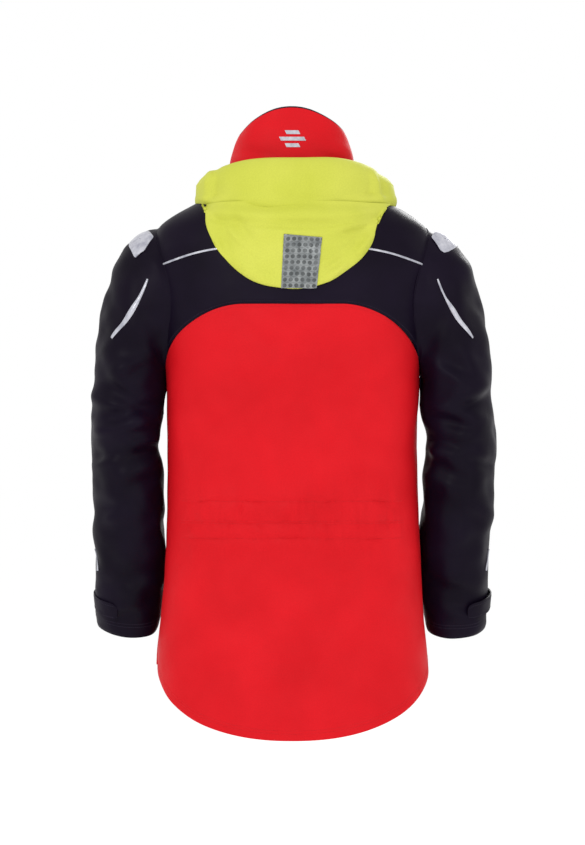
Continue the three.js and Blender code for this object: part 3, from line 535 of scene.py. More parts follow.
def new_object(name: str, points: Array, faces: Iterable, material: bpy.types.Material) -> bpy.types.Object:
    """Makes a smooth mesh.

    Args:
        name: the piece's name.
        points: its points in mm.
        faces: its faces.
        material: what it is made of.

    Returns:
        The new object, with edges of over 40 degrees kept crisp.
    """
    mesh = bpy.data.meshes.new(name)
    mesh.from_pydata(in_scene(points).tolist(), [], [list(map(int, face)) for face in faces])
    mesh.polygons.foreach_set("use_smooth", [True] * len(mesh.polygons))
    mesh.set_sharp_from_angle(angle=math.radians(40))
    mesh.materials.append(material)
    obj = bpy.data.objects.new(name, mesh)
    bpy.context.scene.collection.objects.link(obj)
    return obj


def sew(name: str, cloth: Cloth, thickness: float, material: bpy.types.Material) -> bpy.types.Object:
    """Makes a closed piece of cloth of even thickness, with its map in metres.

    Args:
        name: the piece's name.
        cloth: its outer face.
        thickness: in mm, inward.
        material: what it is made of.

    Returns:
        The new object.
    """
    rows, cols = cloth.points.shape[:2]
    inner = cloth.pushed(-thickness).points
    layer = rows * cols
    points = np.concatenate([cloth.points.reshape(-1, 3), inner.reshape(-1, 3)])
    u, v = cloth.map()
    i, j = np.meshgrid(np.arange(rows - 1), np.arange(cols if cloth.closed else cols - 1), indexing="ij")
    i, j = i.ravel(), j.ravel()
    k = (j + 1) % cols
    quads = [np.stack([i * cols + j, i * cols + k, (i + 1) * cols + k, (i + 1) * cols + j], 1)]
    quads.append(quads[0][:, ::-1] + layer)
    corner = [np.stack([i, i, i + 1, i + 1], 1), np.stack([j, j + 1, j + 1, j], 1)]
    places = [corner, [corner[0][:, ::-1], corner[1][:, ::-1]]]
    span = np.arange(cols if cloth.closed else cols - 1)
    after = (span + 1) % cols
    for row, low in ((0, True), (rows - 1, False)):
        a, b = row * cols + span, row * cols + after
        ring = np.stack([a + layer, b + layer, b, a], 1)
        at = [np.full((len(span), 4), row), np.stack([span, span + 1, span + 1, span], 1)]
        quads.append(ring if low else ring[:, ::-1])
        places.append(at if low else [at[0][:, ::-1], at[1][:, ::-1]])
    if not cloth.closed:
        rise = np.arange(rows - 1)
        for col, first in ((0, True), (cols - 1, False)):
            a, b = rise * cols + col, (rise + 1) * cols + col
            ring = np.stack([a, b, b + layer, a + layer], 1)
            at = [np.stack([rise, rise + 1, rise + 1, rise], 1), np.full((len(rise), 4), col)]
            quads.append(ring if first else ring[:, ::-1])
            places.append(at if first else [at[0][:, ::-1], at[1][:, ::-1]])
    obj = new_object(name, points, np.concatenate(quads), material)
    row_at = np.concatenate([place[0] for place in places]).ravel()
    col_at = np.concatenate([place[1] for place in places]).ravel()
    uv = obj.data.uv_layers.new(name="cloth")
    uv.data.foreach_set("uv", (np.stack([u[row_at, col_at], v[row_at, col_at]], 1) * MM).ravel())
    return obj


def as_sheet(obj: bpy.types.Object, cloth: Cloth) -> bpy.types.Object:
    """Measures a piece's cloth along its threads and its area, but keeps none of it.

    Args:
        obj: the piece.
        cloth: its outer face, measured along its own threads.

    Returns:
        The same piece.
    """
    points = cloth.points
    weft = np.linalg.norm(np.diff(points, axis=1), axis=2).sum(1)
    warp = np.linalg.norm(np.diff(points, axis=0), axis=2).sum(0)
    first, second = points[1:, 1:] - points[:-1, :-1], points[1:, :-1] - points[:-1, 1:]
    area = float(np.linalg.norm(np.cross(first, second), axis=2).sum()) / 2 * MM**2
    return obj


def tube(name: str, path: Array, radius: Array | float, material: bpy.types.Material,
         sides: int = 8, flat: float = 1) -> bpy.types.Object:
    """Makes a closed cord or welt along a path.

    Args:
        name: the piece's name.
        path: points in mm.
        radius: its half thickness in mm.
        material: what it is made of.
        sides: how many faces go round it.
        flat: its height over its width.

    Returns:
        The new object.
    """
    path = np.asarray(path, float)
    along = np.gradient(path, axis=0)
    along /= np.linalg.norm(along, axis=1, keepdims=True)
    up = np.tile([0.0, 1.0, 0.0], (len(path), 1))
    up = up - along * (up * along).sum(1, keepdims=True)
    up /= np.linalg.norm(up, axis=1, keepdims=True)
    across = np.cross(along, up)
    turns = np.linspace(0, 2 * math.pi, sides, endpoint=False)
    size = np.broadcast_to(np.asarray(radius, float), (len(path),))[:, None, None]
    ring = up[:, None] * np.sin(turns)[None, :, None] * flat + across[:, None] * np.cos(turns)[None, :, None]
    points = (path[:, None] + ring * size).reshape(-1, 3)
    count = len(path)
    faces = []
    for i in range(count - 1):
        for j in range(sides):
            k = (j + 1) % sides
            faces.append((i * sides + j, i * sides + k, (i + 1) * sides + k, (i + 1) * sides + j))
    faces.append(tuple(range(sides))[::-1])
    faces.append(tuple((count - 1) * sides + j for j in range(sides)))
    return new_object(name, points, faces, material)


@dataclass(frozen=True)
class Thread:
    """Topstitching: polyester thread of 0.6 mm in stitches of 3.4 mm."""

    stitch: float = 3.4
    gap: float = 0.9
    radius: float = 0.34
    sink: float = 0.05

    def row(self, line: Array, out: Array) -> tuple[Array, list]:
        """Stitches along one line.

        Args:
            line: points on the cloth, in mm.
            out: directions out of the cloth at those points.

        Returns:
            The points and faces of the stitches.
        """
        run = np.concatenate([[0], np.cumsum(np.linalg.norm(np.diff(line, axis=0), axis=1))])
        count = max(1, int(run[-1] / self.stitch))
        starts = np.arange(count) * self.stitch
        ends = np.minimum(starts + self.stitch - self.gap, run[-1])
        pick = lambda at, of: np.stack([np.interp(at, run, of[:, k]) for k in range(3)], 1)
        a, b = pick(starts, line), pick(ends, line)
        n = pick((starts + ends) / 2, out)
        n /= np.linalg.norm(n, axis=1, keepdims=True)
        t = b - a
        t /= np.maximum(np.linalg.norm(t, axis=1, keepdims=True), 1e-9)
        s = np.cross(t, n)
        r = self.radius
        lift, low = n * r * 1.1, n * -self.sink
        mid_a, mid_b = a + (b - a) * 0.2, a + (b - a) * 0.8
        points = np.stack([a + low, mid_a + s * r, mid_a + lift, mid_a - s * r,
                           mid_b + s * r, mid_b + lift, mid_b - s * r, b + low], 1)
        shape = [(0, 1, 2), (0, 2, 3), (1, 4, 5, 2), (2, 5, 6, 3), (4, 7, 5), (5, 7, 6), (0, 3, 6, 7, 4, 1)]
        faces = [[8 * i + k for k in face] for i in range(count) for face in shape]
        return points.reshape(-1, 3), faces

    def sew(self, name: str, rows: Iterable[tuple[Array, Array]], material: bpy.types.Material) -> bpy.types.Object:
        """Makes one object of several rows of stitches."""
        points, faces, base = [], [], 0
        for line, out in rows:
            p, f = self.row(line, out)
            points.append(p)
            faces.extend([[base + k for k in face] for face in f])
            base += len(p)
        return new_object(name, np.concatenate(points), faces, material)


def rows_at(cloth: Cloth, lines: Iterable[Array]) -> list[tuple[Array, Array]]:
    """Stitch rows on a cloth.

    Args:
        cloth: the cloth.
        lines: for each row of stitches, (row, column) places on its grid.

    Returns:
        Points and outward directions for each row.
    """
    normals = cloth.normals()
    found = []
    top = np.array(cloth.points.shape[:2]) - 1
    for line in lines:
        at = np.clip(np.asarray(line, float), 0, top)
        low = np.minimum(at.astype(int), top - 1)
        t = at - low
        pair = []
        for of in (cloth.points, normals):
            a, b = of[low[:, 0], low[:, 1]], of[low[:, 0], low[:, 1] + 1]
            c, d = of[low[:, 0] + 1, low[:, 1]], of[low[:, 0] + 1, low[:, 1] + 1]
            across, up = t[:, 1:], t[:, :1]
            pair.append((a * (1 - across) + b * across) * (1 - up) + (c * (1 - across) + d * across) * up)
        found.append((pair[0] + pair[1] * 0.12, pair[1]))
    return found


# ---- Finishes --------------------------------------------------------------


def linear(code: str) -> tuple[float, float, float, float]:
    """A colour from its sRGB hex value."""
    parts = [int(code[i:i + 2], 16) / 255 for i in (1, 3, 5)]
    return (*[c / 12.92 if c <= 0.04045 else ((c + 0.055) / 1.055) ** 2.4 for c in parts], 1.0)


def add_node(tree: bpy.types.NodeTree, kind: str, inputs: dict | None = None, **settings) -> bpy.types.Node:
    """Adds a node.

    Args:
        tree: where it goes.
        kind: its type.
        inputs: values or sockets for its inputs, by name or number.
        settings: its own properties.

    Returns:
        The node.
    """
    node = tree.nodes.new(kind)
    for key, value in settings.items():
        setattr(node, key, value)
    for key, value in (inputs or {}).items():
        if isinstance(value, bpy.types.NodeSocket):
            tree.links.new(value, node.inputs[key])
        else:
            node.inputs[key].default_value = value
    return node


@dataclass(frozen=True)
class Finish:
    """What every finish has: a name, a colour and how it takes light."""

    name: str
    colour: str
    roughness: float = 0.6
    specular: float = 0.5
    metallic: float = 0.0
    ior: float = 1.5
    sheen: float = 0.0
    coat: float = 0.0

    def start(self) -> tuple[bpy.types.Material, bpy.types.NodeTree, bpy.types.Node]:
        """A new material with its shader."""
        material = bpy.data.materials.new(self.name)
        material.use_nodes = True
        tree = material.node_tree
        tree.nodes.clear()
        shader = add_node(tree, "ShaderNodeBsdfPrincipled", {
            "Base Color": linear(self.colour), "Roughness": self.roughness,
            "Metallic": self.metallic, "IOR": self.ior, "Specular IOR Level": self.specular,
            "Sheen Weight": self.sheen, "Sheen Roughness": 0.4, "Coat Weight": self.coat})
        add_node(tree, "ShaderNodeOutputMaterial", {"Surface": shader.outputs["BSDF"]})
        return material, tree, shader

    def tone(self, tree: bpy.types.NodeTree, vector: bpy.types.NodeSocket, scale: float,
             low: str, high: str, detail: float = 3) -> bpy.types.NodeSocket:
        """Colour that drifts between two tones over a length."""
        noise = add_node(tree, "ShaderNodeTexNoise", {"Vector": vector, "Scale": scale, "Detail": detail})
        blend = add_node(tree, "ShaderNodeValToRGB", {"Fac": noise.outputs["Fac"]})
        blend.color_ramp.elements[0].position = 0.3
        blend.color_ramp.elements[0].color = linear(low)
        blend.color_ramp.elements[1].position = 0.7
        blend.color_ramp.elements[1].color = linear(high)
        return blend.outputs["Color"]


@dataclass(frozen=True)
class WovenNylon(Finish):
    """Plain woven nylon laminated to a film: flat, tight and only faintly glossy.

    The thread pitch is drawn at 1.1 mm, three times the real 0.35 mm, so that
    the weave still reads from a step away.
    """

    shade: str = "#000000"
    pitch: float = 1.1
    relief: float = 0.00006

    def build(self) -> bpy.types.Material:
        """The material."""
        material, tree, shader = self.start()
        cloth = add_node(tree, "ShaderNodeUVMap", uv_map="cloth").outputs["UV"]
        place = add_node(tree, "ShaderNodeTexCoord").outputs["Object"]
        broad = self.tone(tree, place, 9, self.shade, self.colour)
        threads = []
        for way in ("X", "Y"):
            # A wave texture repeats every 2 pi / 20 of its scaled length.
            wave = add_node(tree, "ShaderNodeTexWave", {
                "Vector": cloth, "Scale": math.pi / 10 / (self.pitch * MM), "Distortion": 0.6,
                "Detail": 1.0, "Detail Scale": 2.0}, bands_direction=way)
            threads.append(wave.outputs["Fac"])
        weave = add_node(tree, "ShaderNodeMath", {0: threads[0], 1: threads[1]}, operation="MULTIPLY")
        slub = add_node(tree, "ShaderNodeTexNoise", {"Vector": cloth, "Scale": 420, "Detail": 2.0})
        rub = add_node(tree, "ShaderNodeTexNoise", {"Vector": place, "Scale": 34, "Detail": 5.0})
        height = add_node(tree, "ShaderNodeMath",
                          {0: slub.outputs["Fac"], 1: 0.8, 2: weave.outputs[0]}, operation="MULTIPLY_ADD")
        bump = add_node(tree, "ShaderNodeBump", {
            "Height": height.outputs[0], "Strength": 0.5, "Distance": self.relief})
        crumple = add_node(tree, "ShaderNodeBump", {
            "Height": rub.outputs["Fac"], "Strength": 0.3, "Distance": 0.0012, "Normal": bump.outputs[0]})
        fleck = add_node(tree, "ShaderNodeMapRange", {
            "Value": slub.outputs["Fac"], "From Min": 0.3, "From Max": 0.7, "To Min": 0.95, "To Max": 1.04})
        colour = add_node(tree, "ShaderNodeVectorMath",
                          {0: broad, 1: fleck.outputs[0]}, operation="MULTIPLY")
        rough = add_node(tree, "ShaderNodeMapRange", {
            "Value": rub.outputs["Fac"], "From Min": 0.3, "From Max": 0.7,
            "To Min": self.roughness - 0.05, "To Max": self.roughness + 0.06})
        tree.links.new(colour.outputs[0], shader.inputs["Base Color"])
        tree.links.new(rough.outputs[0], shader.inputs["Roughness"])
        tree.links.new(crumple.outputs[0], shader.inputs["Normal"])
        return material


@dataclass(frozen=True)
class Pile(Finish):
    """Brushed fleece or knitted cloth: short loops that catch light at a grazing angle."""

    shade: str = "#000000"
    size: float = 1.6
    relief: float = 0.0006

    def build(self) -> bpy.types.Material:
        """The material."""
        material, tree, shader = self.start()
        place = add_node(tree, "ShaderNodeTexCoord").outputs["Object"]
        tufts = add_node(tree, "ShaderNodeTexVoronoi", {"Vector": place, "Scale": 1 / (self.size * MM)})
        fuzz = add_node(tree, "ShaderNodeTexNoise", {"Vector": place, "Scale": 900, "Detail": 4.0})
        height = add_node(tree, "ShaderNodeMath", {
            0: fuzz.outputs["Fac"], 1: 0.7, 2: tufts.outputs["Distance"]}, operation="MULTIPLY_ADD")
        bump = add_node(tree, "ShaderNodeBump", {
            "Height": height.outputs[0], "Strength": 0.7, "Distance": self.relief})
        tree.links.new(self.tone(tree, place, 240, self.shade, self.colour), shader.inputs["Base Color"])
        tree.links.new(bump.outputs[0], shader.inputs["Normal"])
        return material


@dataclass(frozen=True)
class KnitMesh(Finish):
    """Warp-knitted polyester mesh with holes every 3 mm."""

    shade: str = "#000000"
    pitch: float = 3.0

    def build(self) -> bpy.types.Material:
        """The material."""
        material, tree, shader = self.start()
        cloth = add_node(tree, "ShaderNodeUVMap", uv_map="cloth").outputs["UV"]
        holes = add_node(tree, "ShaderNodeTexVoronoi", {
            "Vector": cloth, "Scale": 1 / (self.pitch * MM), "Randomness": 0.12})
        blend = add_node(tree, "ShaderNodeValToRGB", {"Fac": holes.outputs["Distance"]})
        blend.color_ramp.elements[0].position = 0.24
        blend.color_ramp.elements[0].color = linear(self.shade)
        blend.color_ramp.elements[1].position = 0.36
        blend.color_ramp.elements[1].color = linear(self.colour)
        bump = add_node(tree, "ShaderNodeBump", {
            "Height": holes.outputs["Distance"], "Strength": 0.6, "Distance": 0.0004})
        tree.links.new(blend.outputs["Color"], shader.inputs["Base Color"])
        tree.links.new(bump.outputs[0], shader.inputs["Normal"])
        return material


@dataclass(frozen=True)
class Webbing(Finish):
    """Woven polyester tape: ribs across it every 1.6 mm, with a herringbone slant."""

    shade: str = "#000000"
    pitch: float = 1.6

    def build(self) -> bpy.types.Material:
        """The material."""
        material, tree, shader = self.start()
        cloth = add_node(tree, "ShaderNodeUVMap", uv_map="cloth").outputs["UV"]
        ribs = add_node(tree, "ShaderNodeTexWave", {
            "Vector": cloth, "Scale": math.pi / 10 / (self.pitch * MM), "Distortion": 1.2,
            "Detail": 2.0}, bands_direction="DIAGONAL")
        blend = add_node(tree, "ShaderNodeMix", {
            "Factor": ribs.outputs["Fac"], 6: linear(self.shade), 7: linear(self.colour)}, data_type="RGBA")
        bump = add_node(tree, "ShaderNodeBump", {
            "Height": ribs.outputs["Fac"], "Strength": 0.6, "Distance": 0.0003})
        tree.links.new(blend.outputs[2], shader.inputs["Base Color"])
        tree.links.new(bump.outputs[0], shader.inputs["Normal"])
        return material


@dataclass(frozen=True)
class ReflectiveFilm(Finish):
    """Prismatic retroreflective film: silvery cells under a clear glossy face."""

    shade: str = "#000000"
    pitch: float = 9.3
    dots: bool = True

    def build(self) -> bpy.types.Material:
        """The material."""
        material, tree, shader = self.start()
        cloth = add_node(tree, "ShaderNodeUVMap", uv_map="cloth").outputs["UV"]
        place = add_node(tree, "ShaderNodeTexCoord").outputs["Object"]
        cells = add_node(tree, "ShaderNodeTexVoronoi", {"Vector": place, "Scale": 520})
        drift = add_node(tree, "ShaderNodeTexNoise", {"Vector": place, "Scale": 60, "Detail": 3.0})
        light = self.tone(tree, place, 90, self.shade, self.colour, 6)
        colour = light
        if self.dots:
            grid = add_node(tree, "ShaderNodeVectorMath", {
                0: cloth, 1: (1 / (self.pitch * MM), 1 / (self.pitch * MM), 0)}, operation="MULTIPLY")
            part = add_node(tree, "ShaderNodeVectorMath", {0: grid.outputs[0]}, operation="FRACTION")
            middle = add_node(tree, "ShaderNodeVectorMath",
                              {0: part.outputs[0], 1: (0.5, 0.5, 0)}, operation="SUBTRACT")
            reach = add_node(tree, "ShaderNodeVectorMath", {0: middle.outputs[0]}, operation="LENGTH")
            dot = add_node(tree, "ShaderNodeMapRange", {
                "Value": reach.outputs["Value"], "From Min": 0.33, "From Max": 0.39,
                "To Min": 1.0, "To Max": 0.0})
            split = add_node(tree, "ShaderNodeSeparateXYZ", {0: middle.outputs[0]})
            edge = add_node(tree, "ShaderNodeMath", {0: split.outputs["Y"]}, operation="ABSOLUTE")
            bar = add_node(tree, "ShaderNodeMapRange", {
                "Value": edge.outputs[0], "From Min": 0.42, "From Max": 0.46, "To Min": 0.0, "To Max": 0.45})
            mark = add_node(tree, "ShaderNodeMath", {0: dot.outputs[0], 1: bar.outputs[0]}, operation="MAXIMUM")
            speck = add_node(tree, "ShaderNodeMath", {
                0: mark.outputs[0], 1: add_node(tree, "ShaderNodeMapRange", {
                    "Value": drift.outputs["Fac"], "From Min": 0.35, "From Max": 0.6,
                    "To Min": 0.55, "To Max": 1.0}).outputs[0]}, operation="MULTIPLY")
            colour = add_node(tree, "ShaderNodeMix", {
                "Factor": speck.outputs[0], 6: light, 7: linear("#2E3334")}, data_type="RGBA").outputs[2]
        bump = add_node(tree, "ShaderNodeBump", {
            "Height": cells.outputs["Distance"], "Strength": 0.5, "Distance": 0.0003})
        wave = add_node(tree, "ShaderNodeBump", {
            "Height": drift.outputs["Fac"], "Strength": 0.5, "Distance": 0.0015, "Normal": bump.outputs[0]})
        tree.links.new(colour, shader.inputs["Base Color"])
        tree.links.new(wave.outputs[0], shader.inputs["Normal"])
        return material


@dataclass(frozen=True)
class Moulded(Finish):
    """Injection-moulded acetal or nylon: a fine spark-eroded grain and a slow random drift of tone."""

    shade: str = "#000000"

    def build(self) -> bpy.types.Material:
        """The material."""
        material, tree, shader = self.start()
        place = add_node(tree, "ShaderNodeTexCoord").outputs["Object"]
        grain = add_node(tree, "ShaderNodeTexNoise", {"Vector": place, "Scale": 1800, "Detail": 2.0})
        bump = add_node(tree, "ShaderNodeBump", {
            "Height": grain.outputs["Fac"], "Strength": 0.25, "Distance": 0.0001})
        tree.links.new(self.tone(tree, place, 60, self.shade, self.colour), shader.inputs["Base Color"])
        tree.links.new(bump.outputs[0], shader.inputs["Normal"])
        return material


@dataclass(frozen=True)
class StudioPaint(Finish):
    """Matt white paint on the floor, with a faint roller stipple."""

    def build(self) -> bpy.types.Material:
        """The material."""
        material, tree, shader = self.start()
        place = add_node(tree, "ShaderNodeTexCoord").outputs["Object"]
        stipple = add_node(tree, "ShaderNodeTexNoise", {"Vector": place, "Scale": 90, "Detail": 3.0})
        bump = add_node(tree, "ShaderNodeBump", {
            "Height": stipple.outputs["Fac"], "Strength": 0.1, "Distance": 0.0005})
        tree.links.new(bump.outputs[0], shader.inputs["Normal"])
        return material


@dataclass
class Wardrobe:
    """Every finish of the jacket, built once."""

    red: bpy.types.Material = field(default_factory=lambda: WovenNylon(
        "red_laminated_nylon", "#CC101B", 0.6, 0.12, shade="#BF0A15").build())
    navy: bpy.types.Material = field(default_factory=lambda: WovenNylon(
        "navy_laminated_nylon", "#130B1C", 0.46, 0.07, shade="#0B0512").build())
    yellow: bpy.types.Material = field(default_factory=lambda: WovenNylon(
        "fluorescent_yellow_laminated_nylon", "#C4C752", 0.6, 0.1, shade="#B9BE44").build())
    mesh: bpy.types.Material = field(default_factory=lambda: KnitMesh(
        "knitted_mesh_lining", "#5A5F68", 0.85, 0.2, shade="#1D1F24").build())
    fleece: bpy.types.Material = field(default_factory=lambda: Pile(
        "brushed_microfleece", "#24242F", 0.95, 0.1, sheen=0.25, shade="#17171F").build())
    neoprene: bpy.types.Material = field(default_factory=lambda: Pile(
        "jersey_faced_neoprene", "#1C1C22", 0.85, 0.25, shade="#131318", size=0.9, relief=0.0003).build())
    grip: bpy.types.Material = field(default_factory=lambda: Pile(
        "hook_and_loop_tape", "#1A1A20", 0.9, 0.2, shade="#101014", size=1.8, relief=0.0009).build())
    web: bpy.types.Material = field(default_factory=lambda: Webbing(
        "woven_polyester_webbing", "#24242A", 0.8, 0.3, shade="#101014").build())
    tape: bpy.types.Material = field(default_factory=lambda: Webbing(
        "woven_zip_tape", "#202027", 0.8, 0.3, shade="#121217", pitch=1.2).build())
    patch: bpy.types.Material = field(default_factory=lambda: ReflectiveFilm(
        "prismatic_reflective_film", "#8C9090", 0.24, 0.6, 0.35, coat=0.6, shade="#565B5D").build())
    silver: bpy.types.Material = field(default_factory=lambda: ReflectiveFilm(
        "silver_reflective_transfer", "#BEBEC6", 0.35, 0.6, 0.2, coat=0.3, shade="#8F8F9C", dots=False).build())
    acetal: bpy.types.Material = field(default_factory=lambda: Moulded(
        "moulded_acetal", "#1F2024", 0.38, 0.5, shade="#17181B").build())
    red_thread: bpy.types.Material = field(default_factory=lambda: Moulded(
        "spun_polyester_thread_red", "#D01822", 0.7, 0.3, shade="#B8121C").build())
    dark_thread: bpy.types.Material = field(default_factory=lambda: Moulded(
        "spun_polyester_thread_navy", "#2B2336", 0.7, 0.3, shade="#1D1726").build())
    yellow_thread: bpy.types.Material = field(default_factory=lambda: Moulded(
        "spun_polyester_thread_yellow", "#C9CF45", 0.7, 0.3, shade="#B9C03A").build())


# ---- Body ------------------------------------------------------------------


@dataclass
class BodyShell:
    """The panels, yokes and lining of the jacket's body."""

    wardrobe: Wardrobe
    form: BodyForm = BodyForm()
    pitch: float = 4.0
    thickness: float = 1.6
    seam_dip: float = 1.3
    seam_width: float = 3.0
    welt: float = 0.9
    front_slot: float = 7.0
    front_seam: float = 632.0
    hem_stitch: float = 16.0

    def panel(self, turns: Array, low: Array, high: Array) -> Cloth:
        """A panel between two heights at each turn."""
        rows = int(np.max(high - low) / self.pitch) + 2
        share = np.linspace(0, 1, rows)[:, None]
        z = low[None] + (high - low)[None] * share
        return Cloth(self.form.torso(np.broadcast_to(turns, z.shape), z))

    def seamed(self, cloth: Cloth, bottom: bool = True, top: bool = True) -> Cloth:
        """The cloth drawn in where it is sewn to its neighbour."""
        _, v = cloth.map()
        dip = np.zeros(cloth.points.shape[:2])
        if bottom:
            dip -= np.exp(-((v / self.seam_width) ** 2))
        if top:
            dip -= np.exp(-(((v[-1:] - v) / self.seam_width) ** 2))
        return cloth.pushed(dip * self.seam_dip)

    def waist_channel(self, cloth: Cloth) -> Cloth:
        """The gathered waist: three sewn lines with the elastic's puckers between them."""
        p = cloth.points
        x, z = p[..., 0], p[..., 2]
        reach = 1 - ramp(np.abs(x), 150, 184)
        lift = np.zeros(x.shape)
        for line, width in ((377, 2.4), (342, 2.8), (318, 2.4)):
            lift -= 2.3 * np.exp(-(((z - line) / width) ** 2))
        for middle, width in ((360, 13), (330, 9)):
            lift += 1.1 * np.exp(-(((z - middle) / width) ** 2))
        flat = np.stack([x, z * 0.35], -1)
        pucker = swell(flat, 15, 11) * np.exp(-(((z - 347) / 42) ** 2)) * 1.25
        pucker += swell(np.stack([x, z * 0.2], -1), 34, 12) * np.exp(-(((z - 347) / 80) ** 2)) * 1.4
        swollen = 1.0 * np.exp(-(((z - 347) / 55) ** 4))
        return cloth.pushed(np.maximum(lift + pucker + swollen, -1.2) * reach)

    def back_panel(self) -> Cloth:
        """The big red back with its dropped tail."""
        form = self.form
        turns = form.even_turns(0.002, math.pi - 0.002, 141, 350)
        low = form.tail(form.hem_half * np.abs(np.cos(turns)) ** 0.8)
        high = form.heights(turns, lambda x: form.yoke(x, -0.3))
        cloth = self.panel(turns, low, high)
        cloth = self.waist_channel(cloth.eased(1.5, 210, 3).eased(0.5, 70, 4))
        folds = [
            Fold((196, 560), (172, 430), 12, 2.2), Fold((178, 565), (150, 470), 16, 1.4),
            Fold((-197, 560), (-174, 440), 12, 2.2), Fold((-182, 560), (-148, 450), 15, 1.4),
            Fold((120, 500), (96, 410), 22, 0.9), Fold((-70, 520), (-84, 410), 26, 0.9),
            Fold((30, 480), (22, 395), 20, 0.7), Fold((-140, 300), (-170, 200), 26, 1.4),
            Fold((150, 300), (186, 190), 26, 1.4), Fold((60, 290), (84, 190), 30, 0.9),
            Fold((-50, 300), (-30, 160), 34, 0.8), Fold((-205, 300), (-212, 180), 10, 1.6),
            Fold((-120, 70), (40, 44), 16, 0.9), Fold((100, 60), (170, 100), 14, 0.8),
        ]
        return self.seamed(cloth.folded(folds), bottom=False)

    def back_yoke(self) -> Cloth:
        """The navy yoke over the shoulder blades and shoulders."""
        form = self.form
        turns = form.even_turns(0.002, math.pi - 0.002, 141, 700)
        low = form.heights(turns, lambda x: form.yoke(x, 0.3))
        high = np.full_like(turns, form.neck - 1.0)
        folds = [
            Fold((226, 700), (196, 640), 12, 1.6), Fold((-226, 700), (-196, 640), 12, 1.6),
            Fold((150, 800), (205, 770), 14, 1.6), Fold((-160, 800), (-208, 760), 14, 1.6),
            Fold((0, 700), (4, 640), 30, 0.8), Fold((170, 740), (150, 690), 20, 1.0),
        ]
        return self.seamed(self.panel(turns, low, high).eased(1.0, 120, 5).folded(folds), top=False)

    def front(self, side: Side, low: float, high: float) -> Cloth:
        """A front panel between two heights, from the side seam to the zip."""
        form = self.form
        middle = (low + high) / 2
        slot = -math.acos((self.front_slot / float(form.half(middle))) ** 1.25)
        turns = form.even_turns(slot, -0.002, 84, middle)
        cloth = self.panel(turns, np.full_like(turns, low), np.full_like(turns, high)).on(side)
        return cloth.eased(1.3, 170, 6).eased(0.4, 60, 7)

    def lining(self) -> Cloth:
        """The mesh lining inside the body, open along the zip."""
        form = self.form
        turns = form.even_turns(-QUARTER + 0.12, math.pi + QUARTER - 0.12, 150, 400)
        x = form.hem_half * np.sign(np.cos(turns)) * np.abs(np.cos(turns)) ** 0.8
        low = np.where(np.sin(turns) > 0, form.tail(x, 20), form.hem + 20)
        cloth = self.panel(turns, low, np.full_like(turns, form.neck - 6))
        return cloth.pushed(-7.2).eased(0.5, 80, 8)

    def facing(self, turns: Array, low: Array, depth: float) -> Cloth:
        """The turned-up strip inside a hem."""
        share = np.linspace(0, 1, 6)[:, None]
        z = low[None] + 1 + (self.hem_stitch - 1) * share
        return Cloth(self.form.torso(np.broadcast_to(turns, z.shape), z)).pushed(-depth)

    def dress(self) -> list[bpy.types.Object]:
        """Builds and hangs every piece of the body.

        Returns:
            The new objects.
        """
        form, made = self.form, []

        def keep(obj: bpy.types.Object, *nodes: str) -> bpy.types.Object:
            """Hangs a piece on the body in place of its CAD nodes."""
            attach(obj, "body")
            if nodes:
                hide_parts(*nodes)
            made.append(obj)
            return obj

        back, yoke = self.back_panel(), self.back_yoke()
        keep(sew("back_panel_cloth", back, self.thickness, self.wardrobe.red), "back_panel")
        keep(sew("back_yoke_cloth", yoke, self.thickness, self.wardrobe.navy), "back_yoke")
        rows, cols = back.points.shape[:2]
        across = np.linspace(0, cols - 1, 4 * cols)
        height = (back.points[-1, :, 2] - back.points[0, :, 2])[None]
        red_rows = []
        for lift in (self.hem_stitch, self.hem_stitch - 5):
            at = np.interp(across, np.arange(cols), lift / height[0] * (rows - 1))
            red_rows += rows_at(back, [np.stack([at, across], 1)])
        for line in (377, 342, 318, 346):
            at = np.array([np.interp(line, back.points[:, j, 2], np.arange(rows)) for j in range(cols)])
            line_at = np.interp(across, np.arange(cols), at)
            inside = np.abs(np.interp(across, np.arange(cols), back.points[rows // 2, :, 0])) < 178
            red_rows += rows_at(back, [np.stack([line_at, across], 1)[inside]])
        under = np.stack([np.full_like(across, rows - 1 - 5.0 / self.pitch), across], 1)
        red_rows += rows_at(back, [under])
        keep(Thread().sew("back_panel_topstitch", red_rows, self.wardrobe.red_thread))
        seam = np.stack([np.full_like(across, 1.4), across], 1)
        keep(Thread().sew("back_yoke_topstitch", rows_at(yoke, [seam]), self.wardrobe.dark_thread))

